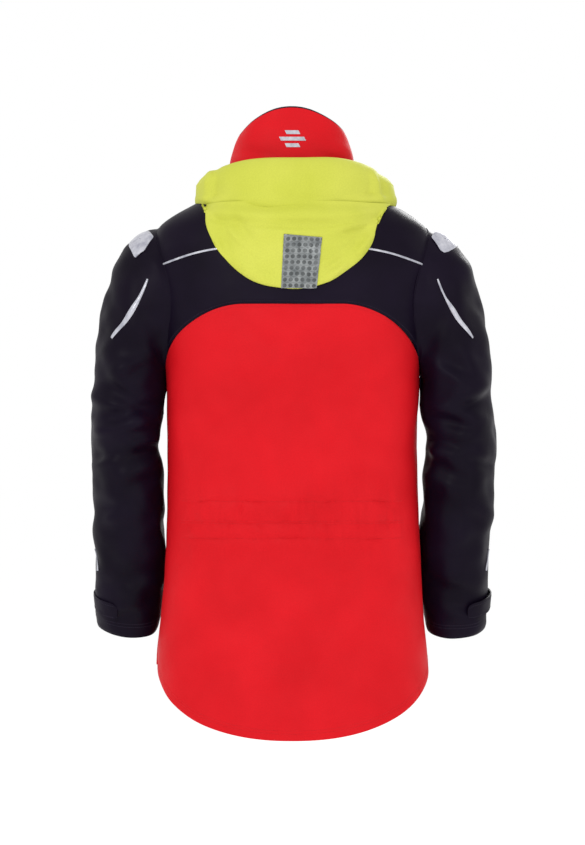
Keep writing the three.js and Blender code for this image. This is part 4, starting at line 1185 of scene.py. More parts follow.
        for side in Side:
            panel = self.seamed(self.front(side, form.hem, self.front_seam - 0.3), bottom=False)
            top = self.seamed(self.front(side, self.front_seam + 0.3, form.neck - 1), top=False)
            keep(sew(f"front_panel_cloth_{side.word}", panel, self.thickness, self.wardrobe.red),
                 f"front_panel_{side.word}")
            keep(sew(f"front_yoke_cloth_{side.word}", top, self.thickness, self.wardrobe.navy),
                 f"front_yoke_{side.word}")
            cols = panel.points.shape[1]
            across = np.linspace(0, cols - 1, 4 * cols)
            rows = [np.stack([np.full_like(across, self.hem_stitch / self.pitch), across], 1),
                    np.stack([np.full_like(across, panel.points.shape[0] - 2.4), across], 1)]
            keep(Thread().sew(f"front_topstitch_{side.word}", rows_at(panel, rows), self.wardrobe.red_thread))
            turns = np.linspace(-1.42, -0.05, 60)
            strip = self.facing(turns, np.full_like(turns, form.hem), 3.0).on(side)
            keep(sew(f"hem_facing_front_cloth_{side.word}", strip, 1.2, self.wardrobe.red),
                 f"hem_facing_front_{side.word}")
            self.side_seam(side, keep)
        turns = form.even_turns(0.02, math.pi - 0.02, 120, 100)
        low = form.tail(form.hem_half * np.abs(np.cos(turns)) ** 0.8)
        keep(sew("hem_facing_back_cloth", self.facing(turns, low, 3.0), 1.2, self.wardrobe.red),
             "hem_facing_back")
        keep(sew("mesh_lining_cloth", self.lining(), 1.0, self.wardrobe.mesh), "body_lining")
        return made

    def side_seam(self, side: Side, keep: Callable[..., bpy.types.Object]) -> None:
        """The welt down the side seam, where back and front panels meet."""
        z = np.linspace(self.form.hem + 1, self.form.underarm - 6, 120)
        path = self.form.torso(np.zeros_like(z), z) - np.array([0.6, 0, 0])
        path[:, 0] *= side.value
        keep(tube(f"side_seam_welt_{side.word}", path, self.welt, self.wardrobe.red, 6))


@dataclass
class Collar:
    """The stand collar: red shell, dark fleece inside and the bound top edge."""

    wardrobe: Wardrobe
    form: BodyForm = BodyForm()
    gap: float = 0.105

    def ring(self, depth: float, drop: float, gap: float) -> Cloth:
        """A face of the collar at a depth, stopping below the edge."""
        form = self.form
        fine = np.linspace(-QUARTER + gap, math.pi + QUARTER - gap, 4000)
        steps = np.linalg.norm(np.diff(form.collar(fine, np.full_like(fine, 950.0)), axis=0), axis=1)
        run = np.concatenate([[0], np.cumsum(steps)])
        turns = np.interp(np.linspace(0, run[-1], 170), run, fine)
        edge = form.collar_edge(turns) - drop
        share = np.linspace(0, 1, 34)[:, None]
        z = form.neck + 0.8 + (edge[None] - form.neck - 0.8) * share
        return Cloth(form.collar(np.broadcast_to(turns, z.shape), z)).pushed(-depth)

    def mark(self, outer: Cloth) -> bpy.types.Object:
        """A plain silver transfer in the middle of the back: a lozenge of three bars."""
        bars = []
        for middle, half in ((955.0, 20.0), (965.5, 11.0), (944.5, 11.0)):
            bars.append(((-half, middle - 3.1), (half, middle + 3.1)))
        points, faces = [], []
        places = outer.points[..., [0, 2]]
        normals = outer.normals()
        behind = outer.points[..., 1] > 0
        for low, high in bars:
            across, up = np.meshgrid(np.linspace(low[0], high[0], 25), np.linspace(low[1], high[1], 6))
            skew = across + (up - (low[1] + high[1]) / 2) * 0.5
            spots = np.stack([skew, up], -1)
            gap = ((places[None, None] - spots[:, :, None, None]) ** 2).sum(-1) + np.where(behind, 0, 1e6)
            nearest = np.argmin(gap.reshape(*spots.shape[:2], -1), -1)
            row, col = np.unravel_index(nearest, places.shape[:2])
            depth = outer.points[row, col, 1] - (normals[row, col, 0] * (spots[..., 0] - places[row, col, 0])
                                                 + normals[row, col, 2] * (spots[..., 1] - places[row, col, 1])
                                                 ) / normals[row, col, 1]
            top = np.stack([spots[..., 0], depth + 0.7, spots[..., 1]], -1)
            under = top - np.array([0, 1.1, 0])
            rows, cols = top.shape[:2]
            start = len(points) * rows * cols
            points += [top.reshape(-1, 3), under.reshape(-1, 3)]
            layer = rows * cols
            for i in range(rows - 1):
                for j in range(cols - 1):
                    a = start + i * cols + j
                    quad = (a, a + cols, a + cols + 1, a + 1)
                    faces += [quad, tuple(k + layer for k in quad[::-1])]
            rim = ([i * cols for i in range(rows)] + [(rows - 1) * cols + j for j in range(1, cols)]
                   + [i * cols + cols - 1 for i in range(rows - 2, -1, -1)] + list(range(cols - 2, 0, -1)))
            for a, b in zip(rim, rim[1:] + rim[:1]):
                faces.append((start + a, start + a + layer, start + b + layer, start + b))
        return new_object("collar_reflective_mark", np.concatenate(points), faces, self.wardrobe.silver)

    def dress(self) -> list[bpy.types.Object]:
        """Builds and hangs the collar."""
        folds = [
            Fold((94, 932), (30, 918), 13, 2.6, FoldShape.LAP), Fold((88, 952), (58, 930), 10, -1.2),
            Fold((-94, 920), (-46, 934), 12, 2.6, FoldShape.LAP), Fold((-58, 954), (-92, 934), 9, 2.6),
            Fold((20, 925), (-30, 930), 14, 1.4), Fold((70, 972), (30, 992), 12, 1.6), Fold((-76, 968), (-40, 990), 12, 1.4),
        ]
        outer = self.ring(0, 0.0, self.gap).eased(0.9, 60, 21).folded(folds, behind=True)
        rise = np.linspace(0, 1, len(outer.points))[:, None]
        outer = outer.pushed(2.2 * np.sin(math.pi * rise) - 1.4 * rise**8)
        lining = self.ring(3.4, 0.6, self.gap + 0.1)
        shell = sew("collar_shell_cloth", outer, 2.0, self.wardrobe.red)
        soft = sew("collar_fleece", lining, 2.0, self.wardrobe.fleece)
        edge = outer.pushed(-2.4).points[-1] + np.array([0, 0, 1.3])
        binding = tube("collar_edge_binding", edge[::2], 1.9, self.wardrobe.fleece, 8)
        made = [shell, soft, binding, self.mark(outer)]
        for obj in made:
            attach(obj, "body")
        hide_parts("collar_shell")
        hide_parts("collar_lining")
        return made


# ---- Hood ------------------------------------------------------------------


@dataclass
class Hood:
    """The hood lying down the back: a band round the collar and a deep bag below its fold."""

    wardrobe: Wardrobe
    form: BodyForm = BodyForm()
    fold: float = 847.0
    roll_height: float = 76.0
    roll_thick: float = 50.0
    roll_reach: float = 128.0
    roll_back: float = 117.0
    bag_half: float = 140.0
    bag_drop: float = 134.0
    ball_drop: float = 205.0
    ball_back: float = 88.0
    ball_centre: float = 60.0

    def band(self) -> Cloth:
        """The upper band as a closed soft roll."""
        turns = np.linspace(-0.3, math.pi + 0.3, 170)
        around = np.linspace(0, 2 * math.pi, 60, endpoint=False)
        taper = np.minimum(1, 0.45 + np.maximum(0, np.sin(turns) + 0.3) * 1.6)[:, None]
        c, s = np.cos(turns)[:, None], np.sin(turns)[:, None]
        out = np.sign(np.cos(around)) * np.abs(np.cos(around)) ** 0.42
        up = np.sign(np.sin(around)) * np.abs(np.sin(around)) ** 0.42
        narrow = 1 - 0.34 * np.maximum(up, 0) ** 2
        reach = (out * narrow)[None] * self.roll_thick / 2 * taper - 7 * np.maximum(up, 0)[None]
        arch = np.clip(1 - 0.72 * np.maximum(0, 1 - s) ** 1.5, 0.56, 1) - 0.05 * c
        droop = 1 + 0.26 * np.maximum(0, s)
        rise = up[None] * self.roll_height / 2 * np.where(up[None] > 0, arch, droop * taper)
        flare = (0.5 - 0.5 * up[None]) * np.where(c < 0, 20.0, 7.0) * np.abs(c) ** 3
        x = c * (self.roll_reach + reach + flare)
        y = s * (self.roll_back + 2 + reach)
        past = np.maximum(0, np.abs(np.linspace(-1, 1, len(turns))) - 0.94) / 0.06
        closing = np.sqrt(1 - 0.999 * past**2)[:, None]
        middle_x, middle_y = c * self.roll_reach, s * (self.roll_back + 2)
        x, y = middle_x + (x - middle_x) * closing, middle_y + (y - middle_y) * closing
        rise = rise * closing
        z = self.fold + self.roll_height / 2 - 2 * (1 - taper) + rise
        return Cloth(np.stack([x, y, z], -1)[:, ::-1], closed=True)

    def bag(self) -> Cloth:
        """The outer cloth of the bag, from inside the fold down to its rounded edge."""
        form = self.form
        lean = np.linspace(-1, 1, 121) * math.radians(88)
        share = np.linspace(0, 1, 60)[:, None]
        s = np.sin(lean)[None]
        x = -self.bag_half * s * (1 + np.where(s > 0, 0.12, 0.02) * (1 - share) ** 1.6)
        depth = self.bag_drop * np.sqrt(1 - s**2)
        down = 1 - (1 - share) ** 1.35
        z = self.fold + 5 - (depth + 5) * down
        w = (self.fold - z) / self.ball_drop
        ball = self.ball_centre + self.ball_back * np.sqrt(np.maximum(0, 1 - s**2 - w**2))
        wall = form.behind(x, z)
        r2 = s**2 + (np.maximum(0, self.fold - z) / self.bag_drop) ** 2
        edge = np.sqrt(np.maximum(0, 1 - np.minimum(r2, 1) ** 2))
        stand = np.maximum(ball - wall, 10) * edge + 2.0
        stand = stand - 11 * ramp(z, 832, 852) * edge
        lip = 825 + 20 * (x / 150) ** 2
        stand = stand + 3.6 * np.exp(-(((z - lip) / 8) ** 2)) - 2.2 * np.exp(-(((z - lip + 14) / 4.5) ** 2))
        return Cloth(np.stack([x, wall + stand, z], -1)[::-1])

    def dress(self) -> list[bpy.types.Object]:
        """Builds and hangs the hood."""
        band = self.band()
        folds = [
            Fold((126, 908), (136, 858), 8, 4.4, FoldShape.LAP), Fold((112, 896), (122, 862), 6, -2.4),
            Fold((-134, 904), (-146, 862), 8, 4.2, FoldShape.LAP), Fold((-122, 900), (-128, 864), 6, -2.2),
            Fold((-84, 860), (-164, 868), 10, 3.4, FoldShape.LAP), Fold((150, 866), (96, 858), 9, 3.0, FoldShape.LAP),
            Fold((100, 858), (20, 852), 9, 2.0), Fold((30, 854), (-90, 858), 8, -2.2),
            Fold((60, 905), (-20, 896), 16, 1.2), Fold((-40, 912), (-110, 896), 14, 1.4),
        ]
        band = band.eased(1.2, 90, 31).folded(folds)
        roll = sew("hood_band_cloth", band, 2.2, self.wardrobe.yellow)
        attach(roll, "body")
        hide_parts("hood_roll")

        bag = self.bag()
        folds = [
            Fold((100, 824), (70, 782), 11, 4.6, FoldShape.LAP), Fold((116, 826), (90, 808), 8, -2.6),
            Fold((120, 800), (104, 762), 10, 3.2, FoldShape.LAP),
            Fold((-74, 802), (-118, 815), 10, -4.0, FoldShape.LAP), Fold((-100, 790), (-124, 800), 9, 2.6),
            Fold((-96, 770), (-122, 800), 9, 4.0, FoldShape.LAP), Fold((-56, 738), (-88, 760), 9, 4.0, FoldShape.LAP),
            Fold((-70, 730), (-104, 770), 8, -2.6), Fold((40, 726), (88, 756), 11, 2.8),
            Fold((60, 812), (-60, 806), 12, 2.4, FoldShape.LAP), Fold((30, 770), (60, 740), 14, 1.8),
        ]
        bag = bag.eased(1.6, 80, 33).folded(folds, behind=True)
        sack = sew("hood_bag_cloth", bag, 2.2, self.wardrobe.yellow)
        pivot = in_scene(np.array([0, 148.0, 846.4]))
        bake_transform(sack)
        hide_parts("hood_bag")
        as_sheet(sack, bag)

        patch = self.patch(bag)
        film = sew("hood_reflective_patch", patch, 0.8, self.wardrobe.patch)
        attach(film, "hood")
        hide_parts("hood_patch")
        return [roll, sack, film]

    def patch(self, bag: Cloth) -> Cloth:
        """The slightly askew film patch, laid on the bag's cloth."""
        rows, cols = bag.points.shape[:2]
        u, v = np.meshgrid(np.linspace(0, 1, 25), np.linspace(0, 1, 34))
        low_left, low_right = np.array([18.0, 714.6]), np.array([-38.0, 714.2])
        top_left, top_right = np.array([13.6, 799.0]), np.array([-46.6, 794.0])
        flat = ((low_left * (1 - v[..., None]) + top_left * v[..., None]) * (1 - u[..., None])
                + (low_right * (1 - v[..., None]) + top_right * v[..., None]) * u[..., None])
        from_x, from_z = bag.points[..., 0], bag.points[..., 2]
        y = np.empty(u.shape)
        for i in range(u.shape[0]):
            for j in range(u.shape[1]):
                x, z = flat[i, j]
                col = int(np.argmin(np.abs(from_x[-1] - x)))
                order = np.argsort(from_z[:, col])
                y[i, j] = np.interp(z, from_z[order, col], bag.points[order, col, 1])
        return Cloth(np.stack([flat[..., 0], y, flat[..., 1]], -1)).pushed(1.1)


# ---- Sleeves ---------------------------------------------------------------


@dataclass
class Sleeve:
    """One sleeve: upper sleeve, forearm, wrist seal and cuff tab."""

    wardrobe: Wardrobe
    side: Side
    form: SleeveForm = SleeveForm()
    thickness: float = 1.6
    columns: int = 96
    tab_width: float = 26.0

    @classmethod
    def swing(cls, obj: bpy.types.Object, side: Side) -> None:
        """Works out a shoulder and an elbow point for a side, uses neither, and bakes a piece's placement into its
        mesh.
        """
        x = side.value
        tuple(in_scene(np.array([x * 212.0, 0, 720.0])))
        tuple(in_scene(np.array([x * 282.0, 0, 460.0])))
        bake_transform(obj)

    def grid(self, stations: Array) -> Cloth:
        """The sleeve's surface over rows of stations, one row or one for each turn."""
        turns = np.linspace(0, 2 * math.pi, self.columns, endpoint=False)
        stations = np.asarray(stations, float)
        if stations.ndim == 1:
            stations = stations[:, None]
        return Cloth(self.form.point(turns[None], stations + 0 * turns[None]), closed=True)

    def folds(self) -> list[Fold]:
        """The folds of the left sleeve, which the right one mirrors."""
        lap, soft = FoldShape.LAP, FoldShape.SOFT
        return [
            Fold((322, 560), (246, 520), 17, 7.5, lap), Fold((300, 498), (214, 522), 14, 8.0, lap),
            Fold((324, 502), (258, 468), 18, 6.5, soft), Fold((214, 470), (292, 446), 15, 8.0, lap),
            Fold((326, 440), (252, 454), 13, 6.5, lap), Fold((212, 430), (280, 400), 17, 5.5, lap),
            Fold((300, 612), (258, 556), 20, 5.5, soft), Fold((238, 646), (222, 556), 17, 6.0, soft),
            Fold((262, 716), (240, 620), 26, 4.2, soft), Fold((286, 404), (264, 246), 26, 5.5, soft),
            Fold((240, 380), (234, 256), 22, 4.8, soft), Fold((314, 384), (302, 240), 15, 4.0, soft),
            Fold((290, 232), (218, 254), 17, 4.8, lap), Fold((248, 202), (304, 186), 13, 4.2, lap),
            Fold((250, 772), (264, 700), 18, 3.6, soft), Fold((304, 332), (236, 298), 24, 3.4, lap),
            Fold((318, 350), (262, 366), 14, 3.6, lap), Fold((228, 600), (282, 574), 14, 4.0, lap),
        ]

    def dressed(self, cloth: Cloth) -> Cloth:
        """A part of the sleeve with its folds, on its own side."""
        tilt = 1 if self.side is Side.LEFT else -1
        moved = cloth.on(self.side)
        folds = []
        for i, fold in enumerate(self.folds()):
            shift = 0 if self.side is Side.LEFT else 9 * math.sin(3.1 * i)
            folds.append(Fold((fold.start[0] * tilt, fold.start[1] + shift), (fold.end[0] * tilt, fold.end[1] - shift),
                              fold.width, fold.height, fold.shape))
        behind = moved.folded(folds, behind=True)
        ahead = [Fold((f.end[0], f.start[1] - 14), (f.start[0], f.end[1] + 10), f.width * 1.2, f.height * 0.8, f.shape)
                 for f in folds[::2]]
        both = behind.folded(ahead, behind=False)
        seed = 41 + self.side.value
        return both.eased(2.6, 105, seed).eased(1.3, 46, seed + 5)

    def dress(self) -> list[bpy.types.Object]:
        """Builds and hangs the sleeve."""
        word, form = self.side.word, self.form
        turns = np.linspace(0, 2 * math.pi, self.columns, endpoint=False)
        root = form.armhole(turns)
        share = np.linspace(0, 1, 100)[:, None]
        whole = self.grid(form.elbow_station + (root + 0.07 - form.elbow_station)[None] * share)
        upper = self.dressed(whole)
        fade = ramp(1 - share, 0, 0.05)[..., None]
        plain = whole.on(self.side)
        upper = Cloth(plain.points * (1 - fade) + upper.points * fade, True)
        lower = self.dressed(self.grid(np.linspace(0.01, form.elbow_station, 88)))
        _, v = lower.map()
        lower = lower.pushed(-1.2 * np.exp(-((v[:, :-1] / 3) ** 2)))

        top = sew(f"upper_sleeve_cloth_{word}", upper, self.thickness, self.wardrobe.navy)
        forearm = sew(f"forearm_sleeve_cloth_{word}", lower, self.thickness, self.wardrobe.navy)
        x = self.side.value
        self.swing(top, self.side)
        tuple(in_scene(np.array([x * 270.0, -5, 474.0])))
        tuple(in_scene(np.array([x * 268.0, -12, 380.0])))
        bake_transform(forearm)
        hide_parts(f"upper_sleeve_{word}")
        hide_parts(f"forearm_sleeve_{word}")
        made = [top, forearm]

        seam = self.armhole_welt(turns, root)
        self.swing(seam, self.side)
        made.append(seam)
        made += self.cuff(lower)
        return made

    def armhole_welt(self, turns: Array, root: Array) -> bpy.types.Object:
        """The raised seam round the armhole."""
        path = self.form.point(turns, root)
        path = np.concatenate([path, path[:1]])
        path[:, 0] *= self.side.value
        return tube(f"armhole_seam_{self.side.word}", path, 1.3, self.wardrobe.navy, 6)

    def cuff(self, lower: Cloth) -> list[bpy.types.Object]:
        """The stitched cuff, the wrist seal inside it, and the tab with its grip pad."""
        word, made = self.side.word, []
        cols = self.columns
        across = np.linspace(0, cols - 2, 5 * cols)
        _, v = lower.map()
        rows = []
        for height in (18, 23):
            at = np.array([np.interp(height, v[:, j], np.arange(len(v))) for j in range(cols)])
            rows.append(np.stack([np.interp(across, np.arange(cols), at), across], 1))
        stitches = Thread().sew(f"cuff_topstitch_{word}", rows_at(lower, rows), self.wardrobe.dark_thread)
        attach(stitches, f"forearm_{word}")
        made.append(stitches)

        turns = np.linspace(0, 2 * math.pi, 64, endpoint=False)
        top = 1.3
        base = Cloth(self.form.point(turns[None], np.array([[top - 0.02], [top], [top + 0.02]])), True)
        start = base.pushed(-4.5).points[1]
        centre = (self.form.point(0.0, top) + self.form.point(math.pi, top)) / 2
        end = centre + np.stack([33 * np.cos(turns), 33 * np.sin(turns) - 8, np.full_like(turns, -70)], -1)
        share = np.sin(np.linspace(0.98, 0.02, 26)[:, None, None] * QUARTER) ** 0.8
        rib = 0.35 * np.sin(np.linspace(0, 20 * math.pi, 26))[:, None]
        seal = Cloth(start[None] * (1 - share) + end[None] * share, True).pushed(rib).on(self.side)
        wrist = sew(f"wrist_seal_{word}", seal, 1.8, self.wardrobe.neoprene)
        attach(wrist, f"forearm_{word}")
        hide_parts(f"inner_cuff_{word}")
        made.append(wrist)

        low = 0.62
        high = low + self.tab_width / self.form.forearm * 5.2
        step = 2 * math.pi / 20
        turns = np.linspace(-2 * step, 4 * step, 44)
        end_round = np.sqrt(np.maximum(0, 1 - (np.clip(turns / step - 3.2, 0, 0.8) / 0.8) ** 2)) * 0.45 + 0.55
        share = np.linspace(-0.5, 0.5, 14)[:, None]
        stations = (low + high) / 2 + (high - low) * share * end_round[None]
        tab = Cloth(self.form.point(turns[None] + 0 * stations, stations)).pushed(4.2).eased(0.3, 30, 51)
        strap = sew(f"cuff_tab_cloth_{word}", tab.on(self.side), 2.0, self.wardrobe.navy)
        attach(strap, f"tab_{word}")
        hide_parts(f"cuff_tab_{word}")
        lines = [np.stack([np.full(160, row), np.linspace(1, 41, 160)], 1) for row in (1.5, 11.5)]
        thread = Thread().sew(f"cuff_tab_topstitch_{word}", rows_at(tab.on(self.side), lines), self.wardrobe.dark_thread)
        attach(thread, f"tab_{word}")
        pad_turns = np.linspace(-2 * step, step, 20)
        pad_rows = np.linspace(low + 0.06, high - 0.06, 10)[:, None]
        pad = Cloth(self.form.point(pad_turns[None] + 0 * pad_rows, pad_rows + 0 * pad_turns[None])).pushed(1.8)
        grip = sew(f"cuff_grip_loop_{word}", pad.on(self.side), 1.2, self.wardrobe.grip)
        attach(grip, f"forearm_{word}")
        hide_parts(f"cuff_grip_pad_{word}")
        return made + [strap, thread, grip]


# ---- Reflective trim -------------------------------------------------------


@dataclass
class Trim:
    """The reflective piping, shoulder badges and forearm flashes."""

    wardrobe: Wardrobe
    body: BodyForm = BodyForm()
    sleeve: SleeveForm = SleeveForm()
    piping: float = 3.2

    def ribbon(self, path: Array, out: Array, width: float) -> Cloth:
        """A narrow strip along a path, facing out."""
        along = np.gradient(path, axis=0)
        along /= np.linalg.norm(along, axis=1, keepdims=True)
        side = np.cross(out, along)
        side /= np.linalg.norm(side, axis=1, keepdims=True)
        rows = [path + side * width * share + out * (0.5 * (1 - (2 * share) ** 2)) for share in np.linspace(-0.5, 0.5, 7)]
        return Cloth(np.stack(rows, 0))

    def dress(self) -> list[bpy.types.Object]:
        """Builds and hangs the trim on both sides."""
        made = []
        for side in Side:
            word = side.word
            run = Spline([(119, 778), (140, 774.5), (162, 769.5), (199, 758), (232, 747)])(np.linspace(0, 4, 70))
            depth = self.body.behind(run[:, 0], run[:, 1]) + 1.6
            path = np.stack([run[:, 0], depth, run[:, 1]], 1)
            out = self.facing(path)
            cloth = self.ribbon(path, out, self.piping).on(side)
            made.append(self.place(sew(f"yoke_piping_cloth_{word}", cloth, 0.9, self.wardrobe.silver),
                                   "body", f"yoke_piping_{word}"))
            arm = Spline([(231, 731), (247, 695), (267, 663), (288, 637)])(np.linspace(0, 3, 60))
            made.append(self.on_sleeve(arm, side, f"sleeve_piping_{word}", f"sleeve_{word}", self.piping * 0.7))
            wrist = Spline([(313, 262), (316.5, 280), (318.5, 296)])(np.linspace(0, 2, 24))
            made.append(self.on_sleeve(wrist, side, f"forearm_flash_{word}", f"forearm_{word}", 5))
            made.append(self.badge(side))
        return made

    def place(self, obj: bpy.types.Object, body: str, node: str) -> bpy.types.Object:
        """Hangs a piece on a body, or bakes a sleeve piece in place, and hides a CAD node."""
        if body.startswith("sleeve"):
            Sleeve.swing(obj, Side.LEFT if body.endswith(Side.LEFT.word) else Side.RIGHT)
        else:
            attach(obj, body)
        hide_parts(node)
        return obj

    def facing(self, path: Array) -> Array:
        """Directions out of the body's back at points on it."""
        x, z = path[:, 0], path[:, 2]
        dx = (self.body.behind(x + 1, z) - self.body.behind(x - 1, z)) / 2
        dz = (self.body.behind(x, z + 1) - self.body.behind(x, z - 1)) / 2
        out = np.stack([-dx, np.ones_like(dx), -dz], 1)
        return out / np.linalg.norm(out, axis=1, keepdims=True)

    def find(self, spots: Array) -> tuple[Array, Array]:
        """Turns and stations on the back of the sleeve for places seen square on."""
        turns = np.linspace(0.02, math.pi - 0.02, 160)
        stations = np.linspace(0.05, self.sleeve.last - 0.6, 700)
        grid = self.sleeve.point(turns[None], stations[:, None])[..., [0, 2]]
        found = []
        for spot in spots:
            gap = ((grid - spot) ** 2).sum(-1)
            found.append(np.unravel_index(int(np.argmin(gap)), gap.shape))
        rows, cols = np.array(found).T
        return turns[cols], stations[rows]

    def out_at(self, turns: Array, stations: Array) -> Array:
        """Directions out of the sleeve."""
        du = self.sleeve.point(turns + 0.01, stations) - self.sleeve.point(turns - 0.01, stations)
        dv = self.sleeve.point(turns, stations + 0.01) - self.sleeve.point(turns, stations - 0.01)
        out = np.cross(du, dv)
        return out / np.linalg.norm(out, axis=-1, keepdims=True)

    def on_sleeve(self, spots: Array, side: Side, node: str, body: str, width: float) -> bpy.types.Object:
        """A reflective strip on the back of a sleeve."""
        turns, stations = self.find(spots)
        smoothed = np.polyfit(np.linspace(0, 1, len(turns)), turns, 4), np.polyfit(np.linspace(0, 1, len(turns)), stations, 4)
        at = np.linspace(0, 1, len(turns))
        turns, stations = np.polyval(smoothed[0], at), np.polyval(smoothed[1], at)
        path, out = self.sleeve.point(turns, stations), self.out_at(turns, stations)
        cloth = Sleeve(self.wardrobe, side).dressed(self.ribbon(path + out * 1.6, out, width))
        return self.place(sew(f"{node}_cloth", cloth, 2.5, self.wardrobe.silver), body, node)

    def badge(self, side: Side) -> bpy.types.Object:
        """The padded reflective badge on the point of the shoulder."""
        corners = np.array([(232, 812), (223, 800), (237, 778), (253, 765), (269, 783)], float)
        turns, stations = self.find(corners)
        turns[[0, 4]] = 0.25, -0.25
        rim = np.stack([turns, stations], 1)
        rim = np.concatenate([rim, rim[:1]])
        around = np.linspace(0, len(corners), 61)[:-1]
        ring = np.stack([np.interp(around, np.arange(len(rim)), rim[:, k]) for k in range(2)], 1)
        ring = (ring + np.roll(ring, 1, 0) + np.roll(ring, -1, 0)) / 3
        shares = np.linspace(1, 0.04, 12)
        centre = ring.mean(0)
        spots = centre + (ring - centre) * shares[:, None, None]
        points = self.sleeve.point(spots[..., 0], spots[..., 1])
        crown = 3.0 - 1.3 * shares[:, None] ** 6 + 0.5 * np.cos(around * 2.6)[None] * shares[:, None]
        cloth = Cloth(points + self.out_at(spots[..., 0], spots[..., 1]) * crown[..., None], True)
        if (cloth.normals()[0] * self.out_at(ring[:, 0], ring[:, 1])).sum() < 0:
            cloth = Cloth(cloth.points[:, ::-1], True)
        cloth = cloth.on(side)
        return self.place(sew(f"shoulder_badge_cloth_{side.word}", cloth, 1.5, self.wardrobe.silver),
                          f"sleeve_{side.word}", f"shoulder_badge_{side.word}")


# ---- Front closure ---------------------------------------------------------


def blocks(name: str, corners: Iterable[tuple[Array, Array]], bevel: float, place: Callable[[Array], Array],
           material: bpy.types.Material) -> bpy.types.Object:
    """Makes one moulded piece from rounded blocks.

    Args:
        name: the piece's name.
        corners: lowest and highest corner of each block, in mm.
        bevel: radius of the rounded edges, in mm.
        place: takes points in the blocks' own axes to the jacket.
        material: what it is made of.

    Returns:
        The new object.
    """
    shape = bmesh.new()
    for low, high in corners:
        made = bmesh.ops.create_cube(shape, size=1)["verts"]
        middle, size = (np.array(low, float) + high) / 2, np.array(high, float) - low
        for vert in made:
            vert.co = Vector(middle + size * np.array(vert.co))
        edges = list({edge for vert in made for edge in vert.link_edges})
        bmesh.ops.bevel(shape, geom=edges, offset=min(bevel, size.min() * 0.45), segments=3, affect="EDGES")
    shape.verts.index_update()
    points = place(np.array([vert.co[:] for vert in shape.verts]))
    faces = [[vert.index for vert in face.verts] for face in shape.faces]
    shape.free()
    return new_object(name, points, faces, material)


